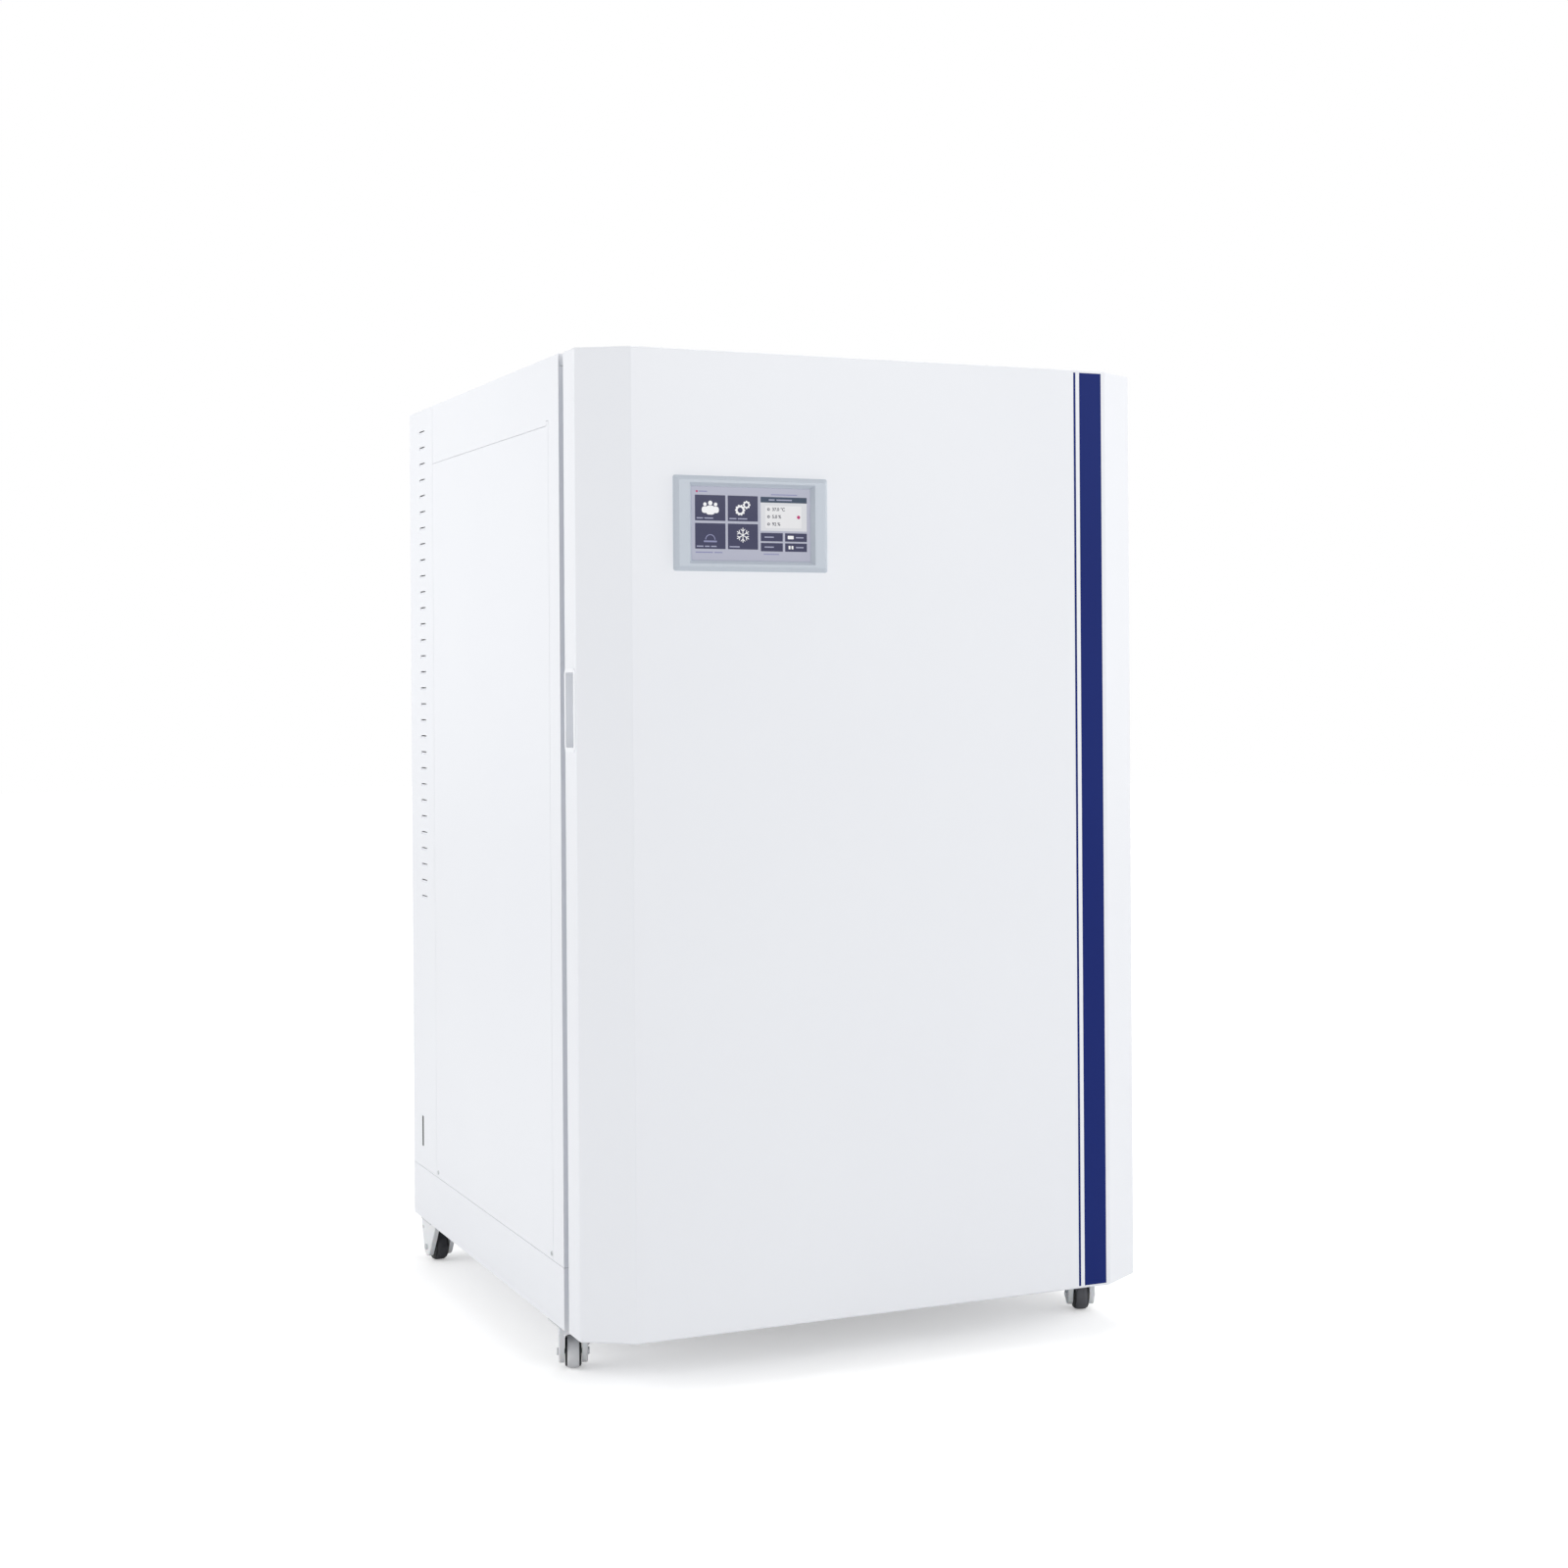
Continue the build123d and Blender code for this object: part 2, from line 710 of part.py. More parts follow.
# Rear panel with the opening for the connection recess and a hole for the access port.
recess_x = recess_side_margin + recess_width / 2 - half_width
recess_mid_z = bottom_z + recess_z
port_x = half_width - port_side_margin
port_centre_z = floor_z + (shelf_levels[-2] + shelf_levels[-1]) / 2
with BuildPart() as rear_panel:
    with BuildSketch(facing_front(rear_y)):
        with Locations((0, (panel_bottom_z + panel_top_z) / 2)):
            Rectangle(body_width - 2 * rear_flange - 2 * seam, panel_top_z - panel_bottom_z)
        with Locations((recess_x, recess_mid_z)):
            Rectangle(recess_width, recess_height, mode=Mode.SUBTRACT)
        with Locations((port_x, port_centre_z)):
            Circle(port_bore + port_wall + touch_fit, mode=Mode.SUBTRACT)
    extrude(amount=sheet)
rear_panel.part.label = "rear_panel"
export_step(rear_panel.part, "parts/rear_panel.step")

# Front frame: the heated face round the chamber, with a throat that runs back to the liner.
with BuildPart() as front_frame:
    with BuildSketch(facing_front(face_y)):
        with Locations((0, (panel_bottom_z + panel_top_z) / 2)):
            Rectangle(body_width - 2 * front_flange - 2 * seam, panel_top_z - panel_bottom_z)
        with Locations((0, chamber_mid_z)):
            Rectangle(throat_width, throat_height, mode=Mode.SUBTRACT)
    extrude(amount=-sheet)
    with BuildSketch(facing_front(face_y)):
        with Locations((0, chamber_mid_z)):
            Rectangle(throat_width + 2 * sheet, throat_height + 2 * sheet)
            Rectangle(throat_width, throat_height, mode=Mode.SUBTRACT)
    extrude(amount=-throat_depth)
front_frame.part.label = "front_frame"
export_step(front_frame.part, "parts/front_frame.step")

# Chamber liner: a stainless tub on its side, with round inner corners and a flange for the glass door.
chamber_space = tub(0)
liner_form = tub(sheet)
liner_clearance = tub(sheet + touch_fit)
shaft_y = chamber_back_y - fan_back_margin
shaft_hole = shaft_radius + shaft_clear

with BuildPart() as chamber_liner:
    add(liner_form)
    with BuildSketch(facing_front(liner_y)):
        with Locations((0, chamber_mid_z)):
            Rectangle(throat_width + 2 * sheet, throat_height + 2 * sheet)
    extrude(amount=-sheet)
    add(chamber_space, mode=Mode.SUBTRACT)
    rod(shaft_hole, (0, shaft_y, ceiling_z - sheet), (0, shaft_y, ceiling_z + 2 * sheet), Mode.SUBTRACT)
    rod(
        port_bore + port_wall + touch_fit,
        (port_x, chamber_back_y - sheet, port_centre_z),
        (port_x, chamber_back_y + 2 * sheet, port_centre_z),
        Mode.SUBTRACT,
    )
chamber_liner.part.label = "chamber_liner"
export_step(chamber_liner.part, "parts/chamber_liner.step")

# The insulation is one moulded jacket round the liner.
with BuildPart() as insulation:
    slab(
        (-insulation_half_width, insulation_half_width),
        (liner_y + sheet + touch_fit, insulation_back_y),
        (panel_bottom_z, insulation_top_z),
    )
    add(liner_clearance, mode=Mode.SUBTRACT)
    rod(shaft_hole, (0, shaft_y, ceiling_z), (0, shaft_y, insulation_top_z + sheet), Mode.SUBTRACT)
    rod(
        port_bore + port_wall + touch_fit,
        (port_x, chamber_back_y, port_centre_z),
        (port_x, insulation_back_y + sheet, port_centre_z),
        Mode.SUBTRACT,
    )
insulation.part.label = "insulation"
export_step(insulation.part, "parts/insulation.step")

# Shelf racks: two uprights a side against the chamber wall, with an angle runner at each shelf.
rack_wall_x = -chamber_half_width
runner_x = rack_wall_x + upright_thickness
with BuildPart() as left_shelf_rack:
    upright_centres = (liner_y + upright_setback, chamber_back_y - upright_setback)
    for centre_y in upright_centres:
        slab(
            (rack_wall_x, runner_x),
            (centre_y - upright_depth / 2, centre_y + upright_depth / 2),
            (floor_z + chamber_corner, ceiling_z - chamber_corner),
        )
    for level in shelf_levels:
        level_z = floor_z + level
        runner_span = (upright_centres[0] - upright_depth / 2, upright_centres[1] + upright_depth / 2)
        slab((runner_x, runner_x + runner_reach), runner_span, (level_z - rack_sheet, level_z))
        slab((runner_x, runner_x + rack_sheet), runner_span, (level_z - rack_sheet, level_z + runner_lip))
left_shelf_rack.part.label = "left_shelf_rack"
export_step(left_shelf_rack.part, "parts/left_shelf_rack.step")

with BuildPart() as right_shelf_rack:
    mirror(left_shelf_rack.part, about=Plane.YZ)
right_shelf_rack.part.label = "right_shelf_rack"
export_step(right_shelf_rack.part, "parts/right_shelf_rack.step")

# Shelves: perforated stainless sheets with their front and back edges folded down between the runners.
shelf_half = chamber_half_width - upright_thickness - rack_sheet - shelf_side_gap
fold_half = shelf_half - runner_reach
shelf_front_y = liner_y + shelf_setback
shelf_length = chamber_depth - shelf_setback - shelf_back_gap
shelf_mid_y = shelf_front_y + shelf_length / 2
slot_columns = int(2 * fold_half // (shelf_slot[0] + shelf_bar[0]))
slot_rows = int(shelf_length // (shelf_slot[1] + shelf_bar[1])) - 1
for number, level in enumerate(shelf_levels, start=1):
    level_z = floor_z + level + touch_fit
    with BuildPart() as shelf:
        with BuildSketch(Plane.XY.offset(level_z)):
            with Locations((0, shelf_mid_y)):
                Rectangle(2 * shelf_half, shelf_length)
                column_pitch = 2 * fold_half / slot_columns
                row_pitch = shelf_length / (slot_rows + 1)
                with GridLocations(column_pitch, row_pitch, slot_columns, slot_rows):
                    Rectangle(*shelf_slot, mode=Mode.SUBTRACT)
        extrude(amount=shelf_sheet)
        for fold_y in (shelf_front_y, shelf_front_y + shelf_length - shelf_sheet):
            slab((-fold_half, fold_half), (fold_y, fold_y + shelf_sheet), (level_z - shelf_fold, level_z))
    shelf.part.label = f"shelf_{number}"
    export_step(shelf.part, f"parts/shelf_{number}.step")

# Humidity pan: a deep-drawn tray with a rim, standing on the chamber floor.
pan_width = chamber_width - 2 * pan_side_gap
pan_length = chamber_depth - pan_setback - pan_back_gap
pan_mid_y = liner_y + pan_setback + pan_length / 2
pan_z = floor_z + touch_fit
with BuildPart() as humidity_pan:
    with BuildSketch(Plane.XY.offset(pan_z)):
        with Locations((0, pan_mid_y)):
            RectangleRounded(pan_width, pan_length, pan_corner)
    extrude(amount=pan_height)
    with BuildSketch(Plane.XY.offset(pan_z + pan_height - rack_sheet)):
        with Locations((0, pan_mid_y)):
            RectangleRounded(pan_width + 2 * pan_rim, pan_length + 2 * pan_rim, pan_corner + pan_rim)
    extrude(amount=rack_sheet)
    with BuildSketch(Plane.XY.offset(pan_z + rack_sheet)):
        with Locations((0, pan_mid_y)):
            RectangleRounded(pan_width - 2 * rack_sheet, pan_length - 2 * rack_sheet, pan_corner - rack_sheet)
    extrude(amount=pan_height, mode=Mode.SUBTRACT)
humidity_pan.part.label = "humidity_pan"
export_step(humidity_pan.part, "parts/humidity_pan.step")

# Fan duct: an open-backed channel along the ceiling and down the back wall, with an eye for the fan.
duct_floor_z = ceiling_z - duct_drop
duct_back_y = chamber_back_y - duct_back
duct_front_y = chamber_back_y - duct_length
duct_low_z = floor_z + duct_bottom
duct_columns = int(duct_width // duct_slot_column_pitch) - 1
duct_rows = int((duct_floor_z - duct_low_z) // duct_slot_row_pitch) - duct_slot_end_rows
with BuildPart() as fan_duct:
    with BuildSketch(seen_from_left(-duct_width / 2)):
        with BuildLine():
            Polyline(
                (duct_front_y, ceiling_z),
                (chamber_back_y, ceiling_z),
                (chamber_back_y, duct_low_z),
                (duct_back_y, duct_low_z),
                (duct_back_y, duct_floor_z),
                (duct_front_y, duct_floor_z),
                close=True,
            )
        make_face()
    extrude(amount=duct_width)
    corner_edge = fan_duct.edges().filter_by(Axis.X).sort_by(Axis.Z)[-2:].sort_by(Axis.Y)[-1]
    chamfer(corner_edge, chamber_corner)
    offset(
        amount=-rack_sheet,
        openings=[fan_duct.faces().sort_by(Axis.Z)[-1], fan_duct.faces().sort_by(Axis.Y)[-1]],
    )
    rod(fan_eye, (0, shaft_y, duct_floor_z - sheet), (0, shaft_y, duct_floor_z + 2 * sheet), Mode.SUBTRACT)
    with BuildSketch(facing_front(duct_back_y)):
        with Locations((0, (duct_low_z + duct_floor_z) / 2)):
            with GridLocations(duct_slot_column_pitch, duct_slot_row_pitch, duct_columns, duct_rows):
                Rectangle(*duct_slot)
    extrude(amount=-2 * rack_sheet, mode=Mode.SUBTRACT)
fan_duct.part.label = "fan_duct"
export_step(fan_duct.part, "parts/fan_duct.step")

# Fan: a shaft, a hub, a back plate, a ring and a circle of blades between them.
impeller_top_z = ceiling_z - fan_drop
impeller_low_z = impeller_top_z - fan_height
motor_bottom_z = insulation_top_z
with BuildPart() as fan_impeller:
    rod(fan_radius, (0, shaft_y, impeller_top_z - blade_thickness), (0, shaft_y, impeller_top_z))
    rod(fan_hub_radius, (0, shaft_y, impeller_top_z - fan_height / 2), (0, shaft_y, impeller_top_z))
    rod(
        shaft_radius,
        (0, shaft_y, impeller_top_z - fan_height / 2),
        (0, shaft_y, motor_bottom_z + motor_height - motor_wall - touch_fit),
    )
    with BuildSketch(Plane.XY.offset(impeller_low_z)):
        with Locations((0, shaft_y)):
            with PolarLocations(fan_radius - blade_chord / 2 - blade_thickness, fan_blades):
                Rectangle(blade_chord, blade_thickness, rotation=blade_angle)
    extrude(amount=fan_height - blade_thickness)
    with BuildSketch(Plane.XY.offset(impeller_low_z)):
        with Locations((0, shaft_y)):
            Circle(fan_radius)
            Circle(fan_radius - blade_chord, mode=Mode.SUBTRACT)
    extrude(amount=blade_thickness)
fan_impeller.part.label = "fan_impeller"
export_step(fan_impeller.part, "parts/fan_impeller.step")

# The fan motor stands on the insulation above the chamber, and its bearing holds the shaft.
with BuildPart() as fan_motor:
    rod(motor_flange_radius, (0, shaft_y, motor_bottom_z), (0, shaft_y, motor_bottom_z + motor_flange))
    rod(motor_radius, (0, shaft_y, motor_bottom_z), (0, shaft_y, motor_bottom_z + motor_height))
    rod(
        shaft_radius + running_fit,
        (0, shaft_y, motor_bottom_z - sheet),
        (0, shaft_y, motor_bottom_z + motor_height - motor_wall),
        Mode.SUBTRACT,
    )
fan_motor.part.label = "fan_motor"
export_step(fan_motor.part, "parts/fan_motor.step")

# The filter hangs under the eye of the duct: two caps, a ring of medium and an open middle at the top.
with BuildPart() as air_filter:
    filter_bottom_z = duct_floor_z - filter_height
    with BuildSketch(facing_front(shaft_y)):
        with BuildLine():
            Polyline(
                (0, filter_bottom_z),
                (filter_radius, filter_bottom_z),
                (filter_radius, filter_bottom_z + filter_cap),
                (filter_media_radius, filter_bottom_z + filter_cap),
                (filter_media_radius, duct_floor_z - filter_cap),
                (filter_radius, duct_floor_z - filter_cap),
                (filter_radius, duct_floor_z),
                (filter_bore, duct_floor_z),
                (filter_bore, filter_bottom_z + filter_cap),
                (0, filter_bottom_z + filter_cap),
                close=True,
            )
        make_face()
    revolve(axis=Axis((0, shaft_y, 0), (0, 0, 1)))
air_filter.part.label = "air_filter"
export_step(air_filter.part, "parts/air_filter.step")

# Sensor: a foot on the ceiling of the chamber with a capped tube.
probe_x = probe_side_margin - chamber_half_width
probe_y = liner_y + probe_setback
probe_low_z = ceiling_z - probe_length
with BuildPart() as sensor_probe:
    with Locations((probe_x, probe_y, ceiling_z)):
        Box(*probe_foot, align=(Align.CENTER, Align.CENTER, Align.MAX))
    rod(probe_radius, (probe_x, probe_y, probe_low_z), (probe_x, probe_y, ceiling_z - probe_foot[2]))
    rod(probe_cap_radius, (probe_x, probe_y, probe_low_z - probe_cap), (probe_x, probe_y, probe_low_z))
    chamfer(sensor_probe.faces().sort_by(Axis.Z)[0].edges(), probe_chamfer)
sensor_probe.part.label = "sensor_probe"
export_step(sensor_probe.part, "parts/sensor_probe.step")

# Control tray above the chamber, with its transformer and the finned heat sink.
tray_left_x = tray_side_margin - insulation_half_width
tray_right_x = -motor_flange_radius - tray_motor_gap
tray_width = tray_right_x - tray_left_x
tray_x = (tray_left_x + tray_right_x) / 2
tray_y = liner_y + tray_setback + tray_length / 2
transformer_x = tray_margin + transformer_size[0] / 2 - tray_width / 2
standing = (Align.CENTER, Align.CENTER, Align.MIN)
with BuildPart() as control_tray:
    with Locations((tray_x, tray_y, insulation_top_z)):
        Box(tray_width, tray_length, tray_depth, align=standing)
    offset(amount=-sheet, openings=control_tray.faces().sort_by(Axis.Z)[-1])
    with Locations((tray_x, tray_y, insulation_top_z + sheet)):
        with Locations((transformer_x, transformer_y)):
            Box(*transformer_size, align=standing)
        with Locations((0, board_y)):
            Box(tray_width - 2 * tray_margin, board_length, board_thickness, align=standing)
        with Locations(fin_place):
            with GridLocations(fin_pitch, 0, fin_count, 1):
                Box(*fin_size, align=standing)
control_tray.part.label = "control_tray"
export_step(control_tray.part, "parts/control_tray.step")

# Glass door: a frameless pane in the throat, with a gasket that meets the flange of the liner.
pane_back_y = liner_y - touch_fit - glass_gasket_height
pane_front_y = pane_back_y - pane
pane_half = throat_width / 2 - pane_margin
pane_low_z = chamber_mid_z - throat_height / 2 + pane_margin
pane_high_z = chamber_mid_z + throat_height / 2 - pane_margin
knob_height_z = bottom_z + knob_z
pivot_y = pane_front_y - glass_pivot_lead
glass_pivot_x = throat_width / 2 - glass_pivot_margin
knob_x = knob_side_margin - pane_half

with BuildPart() as glass_pane:
    with BuildSketch(facing_front(pane_front_y)):
        with Locations((0, chamber_mid_z)):
            RectangleRounded(2 * pane_half, pane_high_z - pane_low_z, pane_corner)
        with Locations((knob_x, knob_height_z)):
            Circle(spindle_radius + running_fit, mode=Mode.SUBTRACT)
    extrude(amount=-pane)
glass_pane.part.label = "glass_pane"
export_step(glass_pane.part, "parts/glass_pane.step")

with BuildPart() as glass_gasket:
    with BuildSketch(facing_front(pane_back_y)):
        with Locations((0, chamber_mid_z)):
            outer_margin = glass_gasket_margin + glass_gasket_width
            RectangleRounded(
                chamber_width + 2 * outer_margin, chamber_height + 2 * outer_margin, chamber_corner
            )
            RectangleRounded(
                chamber_width + 2 * glass_gasket_margin,
                chamber_height + 2 * glass_gasket_margin,
                chamber_corner - glass_gasket_margin,
                mode=Mode.SUBTRACT,
            )
    extrude(amount=-glass_gasket_height)
glass_gasket.part.label = "glass_gasket"
export_step(glass_gasket.part, "parts/glass_gasket.step")

# Clamps grip the right edge of the pane at its top and bottom, and each has a barrel for a pivot pin.
clamp_left_x = pane_half - clamp_reach
clamp_right_x = pane_half + clamp_wrap
clamp_inner_x = chamber_half_width + glass_gasket_margin + glass_gasket_width + touch_fit
clamp_spans = (
    (pane_high_z - pane_corner - clamp_height, pane_high_z - pane_corner),
    (pane_low_z + pane_corner, pane_low_z + pane_corner + clamp_height),
)
barrel_spans = ((clamp_spans[0][0], pane_high_z), (pane_low_z, clamp_spans[1][1]))
with BuildPart() as glass_clamps:
    for clamp_span, barrel_span in zip(clamp_spans, barrel_spans):
        slab((clamp_left_x, clamp_right_x), (pane_front_y - clamp_wall, pane_front_y), clamp_span)
        slab((pane_half, clamp_right_x), (pane_front_y - clamp_wall, pane_back_y + clamp_wall), clamp_span)
        slab((clamp_inner_x, clamp_right_x), (pane_back_y, pane_back_y + clamp_wall), clamp_span)
        rod(
            glass_barrel_radius,
            (glass_pivot_x, pivot_y, barrel_span[0]),
            (glass_pivot_x, pivot_y, barrel_span[1]),
        )
    rod(
        glass_pin_radius + running_fit,
        (glass_pivot_x, pivot_y, pane_high_z - pin_length - touch_fit),
        (glass_pivot_x, pivot_y, pane_high_z + sheet),
        Mode.SUBTRACT,
    )
    rod(
        glass_pin_radius + running_fit,
        (glass_pivot_x, pivot_y, pane_low_z - sheet),
        (glass_pivot_x, pivot_y, pane_low_z + pin_length + touch_fit),
        Mode.SUBTRACT,
    )
glass_clamps.part.label = "glass_clamps"
export_step(glass_clamps.part, "parts/glass_clamps.step")

# The brackets stand on the right wall of the throat, and their pins reach into the barrels.
throat_right_x = throat_width / 2
throat_top_z = chamber_mid_z + throat_height / 2
throat_bottom_z = chamber_mid_z - throat_height / 2
bracket_plate = pane_margin - bracket_gap
with BuildPart() as glass_brackets:
    for side, pane_edge_z in ((1, pane_high_z), (-1, pane_low_z)):
        near_z = pane_edge_z + side * touch_fit
        far_z = near_z + side * bracket_plate
        span = (min(near_z, far_z), max(near_z, far_z))
        slab(
            (glass_pivot_x - bracket_width / 2, throat_right_x),
            (pivot_y - bracket_width / 2, pivot_y + bracket_width / 2),
            span,
        )
        rod(
            glass_pin_radius,
            (glass_pivot_x, pivot_y, near_z),
            (glass_pivot_x, pivot_y, pane_edge_z - side * pin_length),
        )
glass_brackets.part.label = "glass_brackets"
export_step(glass_brackets.part, "parts/glass_brackets.step")

# Latch: a knob whose spindle passes through the pane, with an arm that turns behind the strike.
arm_back_y = pane_front_y - touch_fit
arm_front_y = arm_back_y - arm_thickness
with BuildPart() as latch_knob:
    rod(spindle_radius, (knob_x, pane_back_y + touch_fit, knob_height_z), (knob_x, arm_front_y, knob_height_z))
    rod(
        spindle_collar,
        (knob_x, pane_back_y + touch_fit, knob_height_z),
        (knob_x, pane_back_y + touch_fit + arm_thickness, knob_height_z),
    )
    with BuildSketch(facing_front(arm_back_y)):
        with Locations((knob_x, knob_height_z)):
            Circle(spindle_collar)
        with Locations((knob_x, knob_height_z + arm_length / 2)):
            Rectangle(arm_width, arm_length)
    extrude(amount=arm_thickness)
    rod(
        spindle_collar,
        (knob_x, arm_front_y, knob_height_z),
        (knob_x, arm_front_y - knob_gap, knob_height_z),
    )
    with BuildSketch(facing_front(arm_front_y - knob_gap)):
        with Locations((knob_x, knob_height_z)):
            Circle(knob_radius)
            with PolarLocations(knob_radius + flute_outset, knob_flutes):
                Circle(flute_radius, mode=Mode.SUBTRACT)
    extrude(amount=knob_length)
latch_knob.part.label = "latch_knob"
export_step(latch_knob.part, "parts/latch_knob.step")

with BuildPart() as latch_strike:
    strike_x = -throat_width / 2
    strike_low_z = knob_height_z - strike_height / 2
    strike_right_x = -pane_half - strike_clear
    slab(
        (strike_x, strike_right_x),
        (arm_front_y - strike_clear - strike_lip, arm_back_y),
        (strike_low_z, knob_height_z + strike_height / 2),
    )
    slab(
        (strike_x + strike_lip, half_width),
        (arm_front_y - strike_clear, half_width),
        (knob_height_z - arm_width / 2 - strike_clear, top_z),
        Mode.SUBTRACT,
    )
latch_strike.part.label = "latch_strike"
export_step(latch_strike.part, "parts/latch_strike.step")

# Connection recess at the back: a folded box with holes for the mains inlet, the switch and the gas inlet.
recess_front_y = rear_y - recess_depth
inlet_centre = (recess_x + inlet_x, recess_mid_z)
switch_centre = (recess_x + switch_x, recess_mid_z)
gas_centre = (recess_x + gas_x, recess_mid_z)
with BuildPart() as connection_recess:
    slab(
        (recess_x - recess_width / 2 + touch_fit, recess_x + recess_width / 2 - touch_fit),
        (recess_front_y - sheet, rear_y),
        (recess_mid_z - recess_height / 2 + touch_fit, recess_mid_z + recess_height / 2 - touch_fit),
    )
    offset(amount=-sheet, openings=connection_recess.faces().sort_by(Axis.Y)[-1])
    with BuildSketch(facing_front(recess_front_y)):
        with Locations(inlet_centre):
            Rectangle(inlet_width - 2 * inlet_flange, inlet_height)
        with Locations(switch_centre):
            Rectangle(switch_width, switch_height)
        with Locations(gas_centre):
            Circle(gas_radius + touch_fit)
    extrude(amount=2 * sheet, mode=Mode.SUBTRACT)
    with BuildSketch(facing_front(rear_y - sheet)):
        with Locations((recess_x, recess_mid_z)):
            Rectangle(recess_width + 2 * recess_rim, recess_height + 2 * recess_rim)
            Rectangle(recess_width - 2 * touch_fit, recess_height - 2 * touch_fit, mode=Mode.SUBTRACT)
    extrude(amount=sheet)
connection_recess.part.label = "connection_recess"
export_step(connection_recess.part, "parts/connection_recess.step")

# Mains inlet: a moulded body with a socket for the plug and three flat pins.
with BuildPart() as mains_inlet:
    with BuildSketch(facing_front(recess_front_y)):
        with Locations(inlet_centre):
            Rectangle(inlet_width, inlet_height + 2 * inlet_flange)
    extrude(amount=-inlet_flange)
    with BuildSketch(facing_front(recess_front_y)):
        with Locations(inlet_centre):
            Rectangle(inlet_width - 2 * inlet_flange - 2 * touch_fit, inlet_height - 2 * touch_fit)
    extrude(amount=inlet_depth)
    with BuildSketch(facing_front(recess_front_y + inlet_flange)):
        with Locations(inlet_centre):
            Rectangle(*inlet_socket)
    extrude(amount=inlet_depth, mode=Mode.SUBTRACT)
    with BuildSketch(facing_front(recess_front_y - inlet_pin_sink)):
        with Locations(inlet_centre):
            with Locations(*inlet_pins):
                Rectangle(*inlet_pin)
    extrude(amount=inlet_depth - inlet_flange)
mains_inlet.part.label = "mains_inlet"
export_step(mains_inlet.part, "parts/mains_inlet.step")

# Power switch: a rocker on two small pins in a frame.
rocker_y = recess_front_y + rocker_axis_outset
with BuildPart() as switch_frame:
    with BuildSketch(facing_front(recess_front_y)):
        with Locations(switch_centre):
            Rectangle(switch_width + 2 * switch_rim, switch_height + 2 * switch_rim)
            Rectangle(rocker_width + 2 * touch_fit, rocker_height + 2 * touch_fit, mode=Mode.SUBTRACT)
    extrude(amount=-switch_rim_depth)
    with BuildSketch(facing_front(recess_front_y)):
        with Locations(switch_centre):
            Rectangle(switch_width - 2 * touch_fit, switch_height - 2 * touch_fit)
            Rectangle(rocker_width + 2 * touch_fit, rocker_height + 2 * touch_fit, mode=Mode.SUBTRACT)
    extrude(amount=switch_depth)
    rod(
        rocker_pin_radius + running_fit,
        (switch_centre[0] - rocker_width, rocker_y, recess_mid_z),
        (switch_centre[0] + rocker_width, rocker_y, recess_mid_z),
        Mode.SUBTRACT,
    )
switch_frame.part.label = "switch_frame"
export_step(switch_frame.part, "parts/switch_frame.step")

rocker_plane = Plane(
    origin=(switch_centre[0] - rocker_width / 2, rocker_y, recess_mid_z),
    x_dir=(0, cos(radians(rocker_tilt)), sin(radians(rocker_tilt))),
    z_dir=(1, 0, 0),
)
with BuildPart() as power_rocker:
    with BuildSketch(rocker_plane):
        with BuildLine():
            Polyline(*rocker_outline, close=True)
        make_face()
    extrude(amount=rocker_width)
    rod(
        rocker_pin_radius,
        (switch_centre[0] - switch_width / 2 + rocker_pin_sink, rocker_y, recess_mid_z),
        (switch_centre[0] + switch_width / 2 - rocker_pin_sink, rocker_y, recess_mid_z),
    )
power_rocker.part.label = "power_rocker"
export_step(power_rocker.part, "parts/power_rocker.step")

# Gas inlet: a bulkhead stub with a hexagon nut on each side of the recess wall.
with BuildPart() as gas_inlet:
    rod(
        gas_radius,
        (gas_centre[0], recess_front_y - sheet - gas_nut, recess_mid_z),
        (gas_centre[0], recess_front_y + gas_nut + gas_length, recess_mid_z),
    )
    for nut_y in (recess_front_y - sheet, recess_front_y + gas_nut):
        with BuildSketch(facing_front(nut_y)):
            with Locations(gas_centre):
                RegularPolygon(gas_nut_radius, 6)
        extrude(amount=gas_nut)
gas_inlet.part.label = "gas_inlet"
export_step(gas_inlet.part, "parts/gas_inlet.step")

# Access port: a sleeve through the back wall into the chamber, closed by a soft plug from outside.
with BuildPart() as port_sleeve:
    rod(
        port_bore + port_wall,
        (port_x, chamber_back_y, port_centre_z),
        (port_x, rear_y + port_flange_thickness, port_centre_z),
    )
    rod(
        port_bore + port_wall + port_flange,
        (port_x, rear_y, port_centre_z),
        (port_x, rear_y + port_flange_thickness, port_centre_z),
    )
    rod(
        port_bore,
        (port_x, chamber_back_y - sheet, port_centre_z),
        (port_x, rear_y + 2 * port_flange_thickness, port_centre_z),
        Mode.SUBTRACT,
    )
port_sleeve.part.label = "port_sleeve"
export_step(port_sleeve.part, "parts/port_sleeve.step")

with BuildPart() as port_plug:
    plug_seat_y = rear_y + port_flange_thickness + touch_fit
    rod(
        port_bore - plug_fit,
        (port_x, plug_seat_y - plug_length, port_centre_z),
        (port_x, plug_seat_y, port_centre_z),
    )
    rod(
        plug_head_radius,
        (port_x, plug_seat_y, port_centre_z),
        (port_x, plug_seat_y + plug_head, port_centre_z),
    )
    chamfer(port_plug.faces().sort_by(Axis.Y)[0].edges(), plug_chamfer)
port_plug.part.label = "port_plug"
export_step(port_plug.part, "parts/port_plug.step")

# Casters, drawn once with the trail along Y under the kingpin at the origin, then turned to their headings.
plate_bottom_z = bottom_z - plate_thickness
race_bottom_z = plate_bottom_z - race_height
crown_top_z = race_bottom_z - touch_fit
crown_bottom_z = crown_top_z - crown_height
slot_half = wheel_width / 2 + wheel_side_gap
fork_half = fork_width / 2

